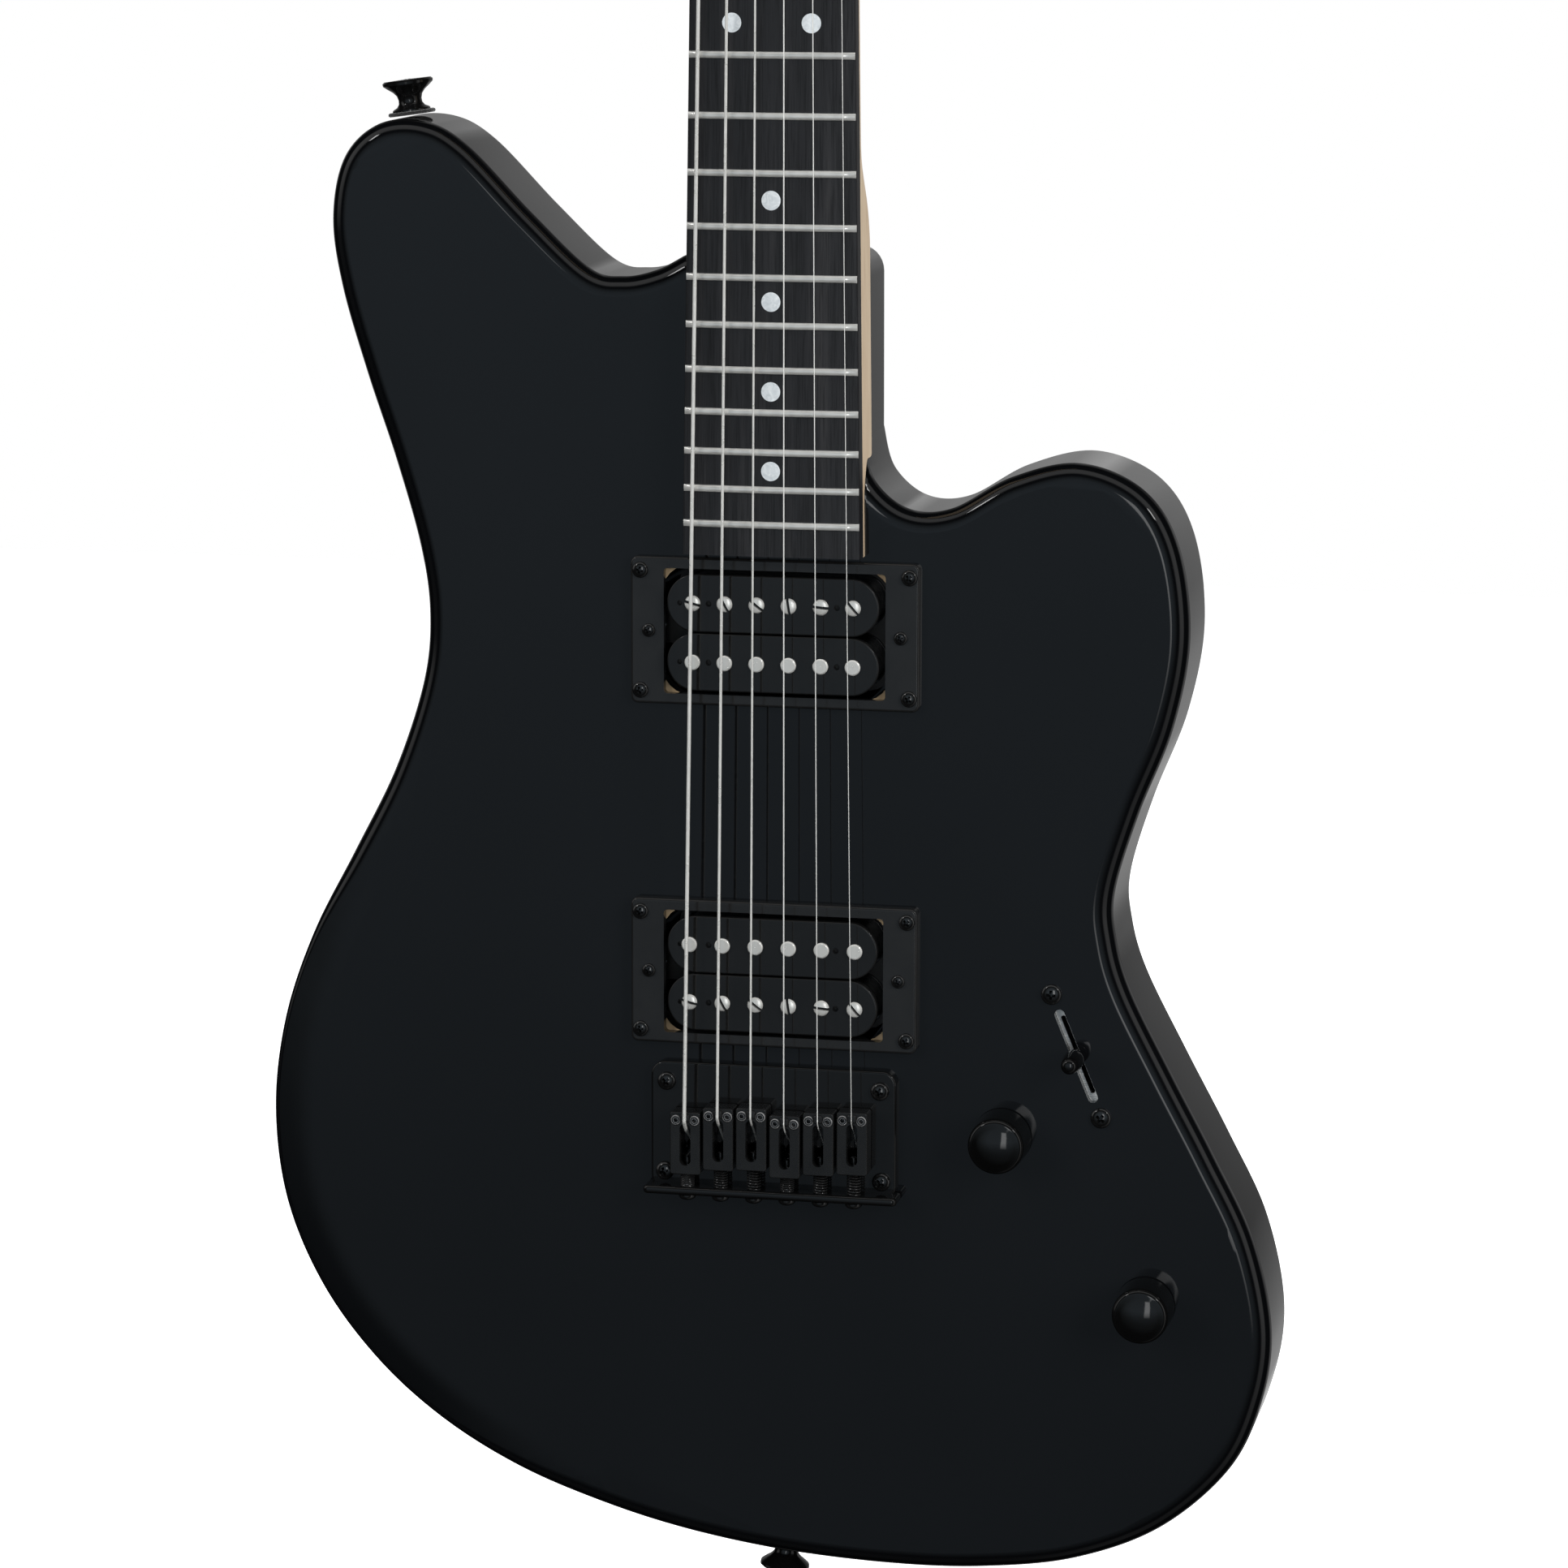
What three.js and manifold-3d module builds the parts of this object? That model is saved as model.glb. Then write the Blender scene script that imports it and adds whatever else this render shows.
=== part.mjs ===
// A solid-body electric guitar with a bolt-on neck, two humbucking pickups and a hardtail bridge.
// It stands upright: +X to the right seen from the front, +Y away from the front, +Z up the neck.
// The origin is on the centre line at the nut, level with the front face of the body. Millimetres.
import * as THREE from "three";
import { mergeVertices } from "three/addons/utils/BufferGeometryUtils.js";
import Module from "manifold-3d";

const wasm = await Module();
wasm.setup();

// ---------------------------------------------------------------- driving dimensions
const SCALE_LENGTH = 647.7;
const FRET_COUNT = 22;
const STRING_COUNT = 6;
const STRING_DIAMETERS = [1.17, 0.91, 0.66, 0.43, 0.33, 0.25];
const STRING_SPREAD_NUT = 35.7;
const STRING_SPREAD_BRIDGE = 52.9;
const STRING_HEIGHT_NUT = 10.3;
const STRING_HEIGHT_BRIDGE = 11.9;

const BODY_THICKNESS = 44.5;
const BODY_ROUNDOVER = 6;
const BOARD_TOP = 8.3;
const BOARD_THICKNESS = 6;
const BOARD_RADIUS = 400;
const BOARD_WIDTH_NUT = 42.9;
const BOARD_END = SCALE_LENGTH - 172;
const BOARD_WIDTH_END = 55.4;
const FRET_CROWN = 1.1;
const POCKET_DEPTH = 17;
const HEEL_TOP = SCALE_LENGTH - 264;
const NECK_DEPTH_NUT = 14.2;
const HEADSTOCK_TILT = THREE.MathUtils.degToRad(9);
const HEADSTOCK_THICKNESS = 14;

const NECK_PICKUP_Z = 147.4;
const BRIDGE_PICKUP_Z = 40.4;
const RING_SIZE = [90.6, 45.8];
const WINDOW_SIZE = [69.5, 39];
const CAVITY_SIZE = [72, 40.5];
const CAVITY_CORNER = 9;
const CAVITY_DEPTH = 21;
const EAR_POCKET = [87, 15];
const BOBBIN_SIZE = [66.4, 17.9];
const BOBBIN_DEPTHS = [-5, 11.9];
const BOBBIN_SHIFT = 9.15;
const BASE_DEPTHS = [12, 13.4];

const CONTROL_WALL = 5;
const VOLUME_AT = [72, -8];
const TONE_AT = [117.4, -59.2];
const SWITCH_AT = [94.8, 18.8];
const SWITCH_TILT = THREE.MathUtils.degToRad(22.5);
const SWITCH_PIVOT_DEPTH = 19;
const JACK_X = 58;
const JACK_Y = 22;
const JACK_SEAT_Z = -146;
const JACK_PLATE = [34, 26, 1.6];

const SADDLE_FRONTS = [-2.9, -1.0, -0.4, -2.2, -0.9, -0.3];
const SADDLE_SIZE = [9.8, 20];
const SADDLE_TOP = 10.2;
const SADDLE_BOTTOM = 3.6;
const PLATE_THICKNESS = 3;
const PLATE_WIDTH = 78;
const PLATE_FRONT = 11.5;
const LIP_BACK = -29.8;
const LIP_SIZE = [80.6, 2.6];
const LIP_TOP = 9.6;
const STRING_HOLE_Z = -15.4;
const STRING_HOLE_RADIUS = 1.8;
const FERRULE_HOLE_RADIUS = 4;
const FERRULE_HOLE_DEPTH = 12;
const NECK_PLATE = [42, 60];
const NECK_PLATE_AT = [-3, 223];

const TUNER_FIRST_Z = 40;
const TUNER_PITCH = 25;
const POST_RADIUS = 3;
const GEAR_RADIUS = 5.4;
const WORM_RADIUS = 2;
const BUTTON_AXES = [7.6, 9.6];
const GAP = 0.3;

// ---------------------------------------------------------------- materials
const material = (color, roughness, metalness) =>
  new THREE.MeshStandardMaterial({ color, roughness, metalness });
const GLOSS_BLACK = material(0x15171a, 0.12, 0);
const SATIN_BLACK = material(0x1b1c1e, 0.45, 0);
const BLACK_METAL = material(0x17181a, 0.25, 0.8);
const MAPLE = material(0xcdb183, 0.45, 0);
const EBONY = material(0x1d1d20, 0.55, 0);
const BONE = material(0x202022, 0.4, 0);
const STEEL = material(0xc9cacb, 0.25, 1);
const BRASS = material(0xb89b58, 0.35, 1);

// ---------------------------------------------------------------- solids
// A closed geometry as a solid with its faces pointing out.
function solid(geometry) {
  const bare = geometry.index ? geometry.toNonIndexed() : geometry.clone();
  bare.deleteAttribute("normal");
  bare.deleteAttribute("uv");
  const merged = mergeVertices(bare);
  const triVerts = new Uint32Array(merged.index.array);
  const made = () =>
    new wasm.Manifold(
      new wasm.Mesh({ numProp: 3, vertProperties: merged.attributes.position.array, triVerts }),
    );
  const first = made();
  if (first.volume() > 0) return first;
  for (let i = 0; i < triVerts.length; i += 3) {
    [triVerts[i + 1], triVerts[i + 2]] = [triVerts[i + 2], triVerts[i + 1]];
  }
  return made();
}

// A solid as a geometry that a mesh can show.
function geometryOf(made) {
  const { vertProperties, triVerts } = made.getMesh();
  const geometry = new THREE.BufferGeometry();
  geometry.setAttribute("position", new THREE.BufferAttribute(vertProperties, 3));
  geometry.setIndex(new THREE.BufferAttribute(triVerts, 1));
  const flat = geometry.toNonIndexed();
  flat.computeVertexNormals();
  return flat;
}

const union = (first, ...others) => others.reduce((a, b) => a.add(b), first);
const cut = (first, ...others) => others.reduce((a, b) => a.subtract(b), first);

// A solid between two depths, front and back, whose outline is a shape in X and Z.
function slab(shape, front, back, curveSegments = 6) {
  const geometry = new THREE.ExtrudeGeometry(shape, {
    depth: back - front,
    bevelEnabled: false,
    curveSegments,
  });
  return solid(geometry.rotateX(Math.PI / 2).translate(0, back, 0));
}

function box(width, depth, height, x = 0, y = 0, z = 0) {
  return solid(new THREE.BoxGeometry(width, depth, height).translate(x, y, z));
}

// A cylinder along Y between two depths.
function rod(radius, front, back, x, z, sides = 16) {
  const geometry = new THREE.CylinderGeometry(radius, radius, back - front, sides);
  return solid(geometry.translate(x, (front + back) / 2, z));
}

// A cylinder from one point to another.
function bar(radius, from, to, sides = 12) {
  const along = to.clone().sub(from);
  const geometry = new THREE.CylinderGeometry(radius, radius, along.length(), sides);
  const turn = new THREE.Quaternion().setFromUnitVectors(
    new THREE.Vector3(0, 1, 0),
    along.clone().normalize(),
  );
  const middle = from.clone().add(to).multiplyScalar(0.5);
  return solid(geometry.applyQuaternion(turn).translate(middle.x, middle.y, middle.z));
}

// A turned solid about Y, from [radius, depth] points.
function turned(profile, sides = 20) {
  const points = profile.map(([radius, depth]) => new THREE.Vector2(radius, depth));
  return solid(new THREE.LatheGeometry(points, sides));
}

// A solid through rings of points, one ring for each station, closed at both ends.
function loft(rings) {
  const count = rings[0].length;
  const position = rings.flat().flatMap((p) => [p.x, p.y, p.z]);
  const index = [];
  for (let r = 0; r + 1 < rings.length; r++) {
    for (let i = 0; i < count; i++) {
      const a = r * count + i;
      const b = r * count + ((i + 1) % count);
      index.push(a, b, b + count, a, b + count, a + count);
    }
  }
  const last = (rings.length - 1) * count;
  for (let i = 1; i + 1 < count; i++) {
    index.push(0, i + 1, i);
    index.push(last, last + i, last + i + 1);
  }
  const geometry = new THREE.BufferGeometry();
  geometry.setAttribute("position", new THREE.Float32BufferAttribute(position, 3));
  geometry.setIndex(index);
  return solid(geometry);
}

// A route whose stations are exactly its own points.
class Route extends THREE.Curve {
  constructor(points) {
    super();
    this.points = points;
  }

  getPoint(t) {
    const place = t * (this.points.length - 1);
    const first = Math.min(Math.floor(place), this.points.length - 2);
    return this.points[first].clone().lerp(this.points[first + 1], place - first);
  }

  getPointAt(u) {
    return this.getPoint(u);
  }

  getTangentAt(u) {
    const step = 0.5 / (this.points.length - 1);
    const ahead = this.getPoint(Math.min(u + step, 1));
    return ahead.sub(this.getPoint(Math.max(u - step, 0))).normalize();
  }
}

function wire(points, diameter, sides = 6) {
  const ring = [];
  for (let i = 0; i < sides; i++) {
    const angle = (2 * Math.PI * i) / sides;
    ring.push(new THREE.Vector2(Math.cos(angle), Math.sin(angle)).multiplyScalar(diameter / 2));
  }
  return solid(
    new THREE.ExtrudeGeometry(new THREE.Shape(ring), {
      steps: points.length - 1,
      extrudePath: new Route(points),
    }),
  );
}

// ---------------------------------------------------------------- outlines
function roundedBox(width, height, radius, x = 0, z = 0) {
  const w = width / 2 - radius;
  const h = height / 2 - radius;
  const shape = new THREE.Shape();
  shape.absarc(x + w, z + h, radius, 0, Math.PI / 2);
  shape.absarc(x - w, z + h, radius, Math.PI / 2, Math.PI);
  shape.absarc(x - w, z - h, radius, Math.PI, 1.5 * Math.PI);
  shape.absarc(x + w, z - h, radius, 1.5 * Math.PI, 2 * Math.PI);
  return shape;
}

// A closed outline moved outwards by a distance.
function grown(points, distance) {
  return points.map((point, i) => {
    const before = points[(i + points.length - 1) % points.length];
    const after = points[(i + 1) % points.length];
    const along = after.clone().sub(before).normalize();
    return new THREE.Vector2(point.x + along.y * distance, point.y - along.x * distance);
  });
}

const pairs = (list) => list.map(([x, z]) => new THREE.Vector2(x, z));

// The edge of the body from the bass side of the neck, down the bass side and up the treble side.
const BODY_EDGE = pairs([
  [-38.5, 257.8], [-49, 255.6], [-60, 258.0], [-78.2, 274.6], [-98.3, 294.8],
  [-112, 302.0], [-126.7, 300.8], [-137.5, 290.5], [-141.4, 272], [-138.5, 250.5],
  [-130.7, 223.7], [-121.8, 197.2], [-114.2, 170.2], [-111.5, 149], [-113.7, 127.7],
  [-123, 100], [-136.4, 73.3], [-150, 46.5], [-159.8, 18.2], [-163.6, -11.4],
  [-160.1, -41.5], [-148.6, -68.9], [-130.8, -92.4], [-108.6, -111.5], [-83.2, -126.1],
  [-55.7, -136.2], [-27.5, -143.3], [4, -147.9], [38, -149.7], [67.1, -148.6],
  [95.7, -143.8], [122.3, -132.1], [143.5, -112.1], [153.3, -90], [156.1, -66.2],
  [150, -37.9], [137.5, -12.1], [124, 13.1], [111, 38.5], [106, 55], [105.4, 70],
  [112.5, 94.5], [122.7, 121.5], [127.4, 149.4], [123.6, 177.1], [112.5, 194.2],
  [93, 201.8], [72, 197], [53.7, 186.9], [40, 186.5], [29.6, 195], [26, 208],
]);
const HEEL_BLOCK_SIDE = 25.8;
const HEEL_BLOCK_TOP = 264;
const HEEL_BLOCK_CORNER = 8;

function bodyOutline() {
  const shape = new THREE.Shape();
  shape.moveTo(-30, 262.2);
  shape.splineThru(BODY_EDGE);
  shape.lineTo(HEEL_BLOCK_SIDE, HEEL_BLOCK_TOP - HEEL_BLOCK_CORNER);
  shape.absarc(
    HEEL_BLOCK_SIDE - HEEL_BLOCK_CORNER,
    HEEL_BLOCK_TOP - HEEL_BLOCK_CORNER,
    HEEL_BLOCK_CORNER,
    0,
    Math.PI / 2,
  );
  shape.lineTo(-24, HEEL_BLOCK_TOP);
  return shape;
}

const CONTROL_EDGE = pairs([
  [62, -24], [57, -8], [62, 14], [74, 41], [86, 49], [96, 43], [106, 20], [119, -6],
  [135, -38], [141, -62], [138, -86], [120, -100], [96, -105], [79, -98], [80, -82],
  [92, -66], [80, -44],
]).reverse();

// ---------------------------------------------------------------- the group tree
const guitar = new THREE.Group();
const atScaleEnd = new THREE.Group();
atScaleEnd.position.z = -SCALE_LENGTH;
const headstock = new THREE.Group();
headstock.position.y = BOARD_THICKNESS - BOARD_TOP;
headstock.rotation.x = -HEADSTOCK_TILT;
guitar.add(atScaleEnd, headstock);

function piece(name, made, look, parent = atScaleEnd) {
  const mesh = new THREE.Mesh(geometryOf(made), look);
  mesh.name = name;
  parent.add(mesh);
  return mesh;
}

// ---------------------------------------------------------------- strings' places
const stringShare = (i) => i / (STRING_COUNT - 1) - 0.5;

// A string's sideways place and depth at a height above the scale end.
function stringPoint(i, z) {
  const share = z / SCALE_LENGTH;
  const spread = THREE.MathUtils.lerp(STRING_SPREAD_BRIDGE, STRING_SPREAD_NUT, share);
  const height = THREE.MathUtils.lerp(STRING_HEIGHT_BRIDGE, STRING_HEIGHT_NUT, share);
  const x = stringShare(i) * spread;
  return new THREE.Vector3(x, (x * x) / (2 * BOARD_RADIUS) - height, z);
}

// ---------------------------------------------------------------- body
const pickupCavity = (z) => [
  slab(roundedBox(...CAVITY_SIZE, CAVITY_CORNER, 0, z), -1, CAVITY_DEPTH),
  box(EAR_POCKET[0], CAVITY_DEPTH + 1, EAR_POCKET[1], 0, (CAVITY_DEPTH - 1) / 2, z),
];

// How far the forearm cut reaches in from each point of the body's edge, and how deep it is there.
const FOREARM_REACH = 13;
const FOREARM_DEPTH = 1.8;
const FOREARM_FIRST = 17;
const FOREARM_SHARES = [0.25, 0.85, 1, 1, 1, 1, 1, 0.75, 0.25];

// The slope under the player's forearm, a wedge along the edge of the lower bass side.
function forearmCut() {
  const outside = 4;
  const above = 1;
  return loft(
    FOREARM_SHARES.map((share, k) => {
      const i = FOREARM_FIRST - 1 + k;
      const along = BODY_EDGE[i + 1].clone().sub(BODY_EDGE[i - 1]).normalize();
      const reach = FOREARM_REACH * share;
      const slope = FOREARM_DEPTH / FOREARM_REACH;
      const at = (inwards, depth) =>
        new THREE.Vector3(
          BODY_EDGE[i].x - along.y * inwards,
          depth,
          BODY_EDGE[i].y + along.x * inwards,
        );
      return [
        at(reach + above / slope, -above),
        at(-outside, -above),
        at(-outside, (reach + outside) * slope),
      ];
    }),
  );
}

function body() {
  const geometry = new THREE.ExtrudeGeometry(bodyOutline(), {
    depth: BODY_THICKNESS - 2 * BODY_ROUNDOVER,
    bevelEnabled: true,
    bevelThickness: BODY_ROUNDOVER,
    bevelSize: BODY_ROUNDOVER,
    bevelOffset: -BODY_ROUNDOVER,
    bevelSegments: 2,
    curveSegments: 2,
  });
  geometry.rotateX(Math.PI / 2).translate(0, BODY_THICKNESS - BODY_ROUNDOVER, 0);
  const pocketEnd = SCALE_LENGTH - BOARD_END - 0.3;
  const neckPocket = box(
    BOARD_WIDTH_END + 0.6,
    POCKET_DEPTH + 1,
    140,
    0,
    (POCKET_DEPTH - 1) / 2,
    pocketEnd + 70,
  );
  const controls = slab(new THREE.Shape(CONTROL_EDGE), CONTROL_WALL, BODY_THICKNESS + 1);
  const coverRecess = slab(
    new THREE.Shape(grown(CONTROL_EDGE, 4.3)),
    BODY_THICKNESS - 2.4,
    BODY_THICKNESS + 1,
  );
  const switchSlot = slab(roundedBox(3.2, 31, 1.6), -1, CONTROL_WALL + 1)
    .rotate([0, -THREE.MathUtils.radToDeg(SWITCH_TILT), 0])
    .translate([SWITCH_AT[0], 0, SWITCH_AT[1]]);
  const potHoles = [VOLUME_AT, TONE_AT].map(([x, z]) => rod(5, -1, CONTROL_WALL + 1, x, z));
  const stringHoles = [];
  for (let i = 0; i < STRING_COUNT; i++) {
    const { x } = stringPoint(i, 0);
    const step = BODY_THICKNESS - FERRULE_HOLE_DEPTH;
    stringHoles.push(rod(STRING_HOLE_RADIUS, -1, step + 1, x, STRING_HOLE_Z, 8));
    stringHoles.push(rod(FERRULE_HOLE_RADIUS, step, BODY_THICKNESS + 1, x, STRING_HOLE_Z, 12));
  }
  const jackHole = bar(
    11,
    new THREE.Vector3(JACK_X, JACK_Y, -152),
    new THREE.Vector3(JACK_X, JACK_Y, -108),
    16,
  );
  const jackSeat = box(34.6, 26.6, 6, JACK_X, JACK_Y, JACK_SEAT_Z - 3);
  const wireWays = [
    bar(3.5, new THREE.Vector3(24, 14, 60), new THREE.Vector3(24, 14, 128), 8),
    bar(3.5, new THREE.Vector3(30, 14, 40), new THREE.Vector3(74, 14, 12), 8),
    bar(5, new THREE.Vector3(58, 24, -116), new THREE.Vector3(92, 24, -92), 8),
  ];
  return cut(
    solid(geometry),
    forearmCut(),
    neckPocket,
    ...pickupCavity(NECK_PICKUP_Z),
    ...pickupCavity(BRIDGE_PICKUP_Z),
    controls,
    coverRecess,
    switchSlot,
    ...potHoles,
    ...stringHoles,
    jackHole,
    jackSeat,
    ...wireWays,
  );
}
piece("body", body(), GLOSS_BLACK);

// ---------------------------------------------------------------- neck
// Half the width of the board and of the neck at a height; heights above the nut are positive.
const halfWidth = (z) =>
  THREE.MathUtils.mapLinear(z, 0, -BOARD_END, BOARD_WIDTH_NUT / 2, BOARD_WIDTH_END / 2);

// A section across the neck: flat in front, and behind between an ellipse (2) and a box (12).
function neckSection(z, width, depth, squareness, lean = 0) {
  const front = BOARD_THICKNESS - BOARD_TOP + lean;
  const sides = 14;
  const points = [];
  for (let i = 0; i <= sides; i++) {
    const angle = (Math.PI * i) / sides;
    const x = width * Math.sign(Math.cos(angle)) * Math.abs(Math.cos(angle)) ** (2 / squareness);
    points.push(new THREE.Vector3(x, front + depth * Math.sin(angle) ** (2 / squareness), z));
  }
  return points;
}

const HEEL_DEPTH = POCKET_DEPTH + BOARD_TOP - BOARD_THICKNESS - 0.05;

function headstockOutline() {
  const shape = new THREE.Shape();
  shape.moveTo(-21.5, 4);
  shape.lineTo(21.5, 4);
  shape.splineThru(pairs([[21.8, 12], [23.4, 45], [26.4, 92], [30.6, 140], [33.4, 168]]));
  shape.quadraticCurveTo(34, 176, 28, 182);
  shape.lineTo(16.5, 195.5);
  shape.quadraticCurveTo(12.5, 199.5, 10.2, 194.5);
  shape.lineTo(-32.2, 36.5);
  shape.quadraticCurveTo(-34.5, 27.5, -29, 22.5);
  shape.quadraticCurveTo(-22, 15.5, -21.5, 4);
  return shape;
}

// The tuner posts stand on one line, each where its own string runs straight to it.
function postPlace(i) {
  const z = TUNER_FIRST_Z + TUNER_PITCH * i;
  const wrap = POST_RADIUS + STRING_DIAMETERS[i] / 2 + GAP;
  return new THREE.Vector2(stringPoint(i, SCALE_LENGTH + z).x - wrap, z);
}
const POST_LINE = postPlace(STRING_COUNT - 1).sub(postPlace(0));
const POST_LEAN = Math.atan2(POST_LINE.x, POST_LINE.y);

function neck() {
  const stations = [
    [18, 21.7, 13.4, 5, 18 * Math.tan(HEADSTOCK_TILT)],
    [6, 21.5, 13.8, 3, 6 * Math.tan(HEADSTOCK_TILT)],
    [-12, halfWidth(-12), NECK_DEPTH_NUT, 2.2],
    [-180, halfWidth(-180), NECK_DEPTH_NUT + 0.8, 2.15],
    [-345, halfWidth(-345), NECK_DEPTH_NUT + 1.8, 2.2],
    [-364, halfWidth(-364), NECK_DEPTH_NUT + 2.8, 3],
    [-376, halfWidth(-376), NECK_DEPTH_NUT + 4.4, 5.5],
    [-HEEL_TOP, halfWidth(-HEEL_TOP), HEEL_DEPTH, 12],
    [-BOARD_END, halfWidth(-BOARD_END), HEEL_DEPTH, 12],
  ];
  const shaft = loft(stations.map((station) => neckSection(...station)));
  const truss = box(6.4, 9.5, 465, 0, 4.75 - BOARD_TOP + BOARD_THICKNESS - 0.01, -226);
  const holes = [];
  for (let i = 0; i < STRING_COUNT; i++) {
    const { x, y } = postPlace(i);
    holes.push(rod(4.6, -1, HEADSTOCK_THICKNESS + 1, x, y, 12));
  }
  const head = cut(slab(headstockOutline(), 0, HEADSTOCK_THICKNESS, 5), ...holes)
    .rotate([-THREE.MathUtils.radToDeg(HEADSTOCK_TILT), 0, 0])
    .translate([0, BOARD_THICKNESS - BOARD_TOP, 0]);
  const nutShelf = box(60, 30, 12, 0, BOARD_THICKNESS - BOARD_TOP - 15, -6 + 4.6);
  return cut(union(shaft, head), nutShelf, truss);
}
piece("neck", neck(), MAPLE, guitar);

const trussRod = union(
  box(5.8, 8.6, 445, 0, 2.4, -232),
  bar(2.4, new THREE.Vector3(0, 2.4, -12), new THREE.Vector3(0, 2.4, 5), 8),
);
piece("truss_rod", trussRod, STEEL, guitar);

const trussCover = new THREE.Shape();
trussCover.moveTo(-8, 7);
trussCover.lineTo(8, 7);
trussCover.quadraticCurveTo(9, 20, 1.5, 32);
trussCover.quadraticCurveTo(0, 34, -1.5, 32);
trussCover.quadraticCurveTo(-9, 20, -8, 7);
piece("truss_rod_cover", slab(trussCover, -1.8, -0.1), SATIN_BLACK, headstock);

// ---------------------------------------------------------------- fretboard and nut
const boardTopAt = (x) => (x * x) / (2 * BOARD_RADIUS) - BOARD_TOP;

function boardSection(z) {
  const half = halfWidth(z);
  const bottom = BOARD_THICKNESS - BOARD_TOP - 0.05;
  const points = [new THREE.Vector3(half, bottom, z), new THREE.Vector3(-half, bottom, z)];
  for (let i = 0; i <= 4; i++) {
    const x = half * (i / 2 - 1);
    points.push(new THREE.Vector3(x, boardTopAt(x), z));
  }
  return points;
}

// A fret: a low crown across the board, sunk a little into it.
function fret(number) {
  const z = SCALE_LENGTH * (2 ** (-number / 12) - 1);
  const half = halfWidth(z) - 0.4;
  const rings = [];
  for (const share of [-1, -0.5, 0.5, 1]) {
    const x = half * share;
    const top = boardTopAt(x);
    rings.push([
      new THREE.Vector3(x, top + 0.6, z - 1.1),
      new THREE.Vector3(x, top + 0.6, z + 1.1),
      new THREE.Vector3(x, top - FRET_CROWN, z + 0.5),
      new THREE.Vector3(x, top - FRET_CROWN, z - 0.5),
    ]);
  }
  return loft(rings);
}

function fretboard() {
  const board = loft([boardSection(-0.05), boardSection(-BOARD_END)]);
  const frets = Array.from({ length: FRET_COUNT }, (_, i) => fret(i + 1));
  return union(board, ...frets);
}
piece("fretboard", fretboard(), EBONY, guitar);

function nut() {
  const profile = new THREE.Shape();
  profile.moveTo(0.05, BOARD_TOP - BOARD_THICKNESS + 0.05);
  profile.lineTo(0.05, 10.7);
  profile.lineTo(1.8, 10.7);
  profile.lineTo(4.3, 9.2);
  profile.lineTo(4.3, BOARD_TOP - BOARD_THICKNESS + 0.05);
  const geometry = new THREE.ExtrudeGeometry(profile, {
    depth: BOARD_WIDTH_NUT - 0.4,
    bevelEnabled: false,
  });
  const basis = new THREE.Matrix4().makeBasis(
    new THREE.Vector3(0, 0, 1),
    new THREE.Vector3(0, -1, 0),
    new THREE.Vector3(1, 0, 0),
  );
  const block = solid(geometry.translate(0, 0, -BOARD_WIDTH_NUT / 2 + 0.2).applyMatrix4(basis));
  const slots = STRING_DIAMETERS.map((diameter, i) => {
    const { x, y } = stringPoint(i, SCALE_LENGTH);
    return box(diameter + 0.4, 4, 8, x, y + diameter / 2 + 0.55 - 2, 2);
  });
  return cut(block, ...slots);
}
piece("nut", nut(), BONE, guitar);

// ---------------------------------------------------------------- plates on the back
const neckPlate = roundedBox(...NECK_PLATE, 4, ...NECK_PLATE_AT);
piece("neck_plate", slab(neckPlate, BODY_THICKNESS + 0.05, BODY_THICKNESS + 2, 3), BLACK_METAL);

const controlCover = slab(
  new THREE.Shape(grown(CONTROL_EDGE, 4)),
  BODY_THICKNESS - 2.35,
  BODY_THICKNESS - 0.2,
);
piece("control_cover", controlCover, SATIN_BLACK);

// ---------------------------------------------------------------- volume and tone controls
const POT_PROFILE = [
  [0, 14.6], [12, 14.6], [12, 5.4], [4.7, 5.4], [4.7, -0.3], [6.5, -0.3], [6.5, -1.8],
  [3.3, -1.8], [3.3, 13.8], [0, 13.8],
];
const SHAFT_PROFILE = [[0, 13.5], [3, 13.5], [3, -9.7], [0, -9.7]];
const KNOB_PROFILE = [
  [0, -10], [3.3, -10], [3.3, -3], [7.4, -3], [7.4, -0.6], [9.2, -0.6], [8.75, -12.4],
  [7.9, -14.2], [5, -15.1], [0, -15.4],
];
for (const [name, place] of [["volume", VOLUME_AT], ["tone", TONE_AT]]) {
  const unit = new THREE.Group();
  unit.position.set(place[0], 0, place[1]);
  atScaleEnd.add(unit);
  piece(`${name}_pot`, turned(POT_PROFILE, 14), STEEL, unit);
  piece(`${name}_shaft`, turned(SHAFT_PROFILE, 12), BRASS, unit);
  piece(`${name}_knob`, turned(KNOB_PROFILE, 16), GLOSS_BLACK, unit);
}

// ---------------------------------------------------------------- pickup selector
const selector = new THREE.Group();
selector.position.set(SWITCH_AT[0], 0, SWITCH_AT[1]);
selector.rotation.y = -SWITCH_TILT;
atScaleEnd.add(selector);

const acrossPivot = (radius, reach) =>
  bar(
    radius,
    new THREE.Vector3(-reach, SWITCH_PIVOT_DEPTH, 0),
    new THREE.Vector3(reach, SWITCH_PIVOT_DEPTH, 0),
    10,
  );
const switchFrame = cut(
  union(box(14, 1.6, 50, 0, 6.2, 0), box(11, 18, 33, 0, 15.5, 0)),
  box(2.8, 40, 27, 0, 15, 0),
  acrossPivot(1.6, 10),
);
piece("switch_frame", switchFrame, STEEL, selector);

const switchLever = union(
  box(1.4, 31, 3.4, 0, SWITCH_PIVOT_DEPTH - 13.5, 0),
  acrossPivot(1.2, 5.2),
);
piece("switch_lever", switchLever, STEEL, selector);

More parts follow.
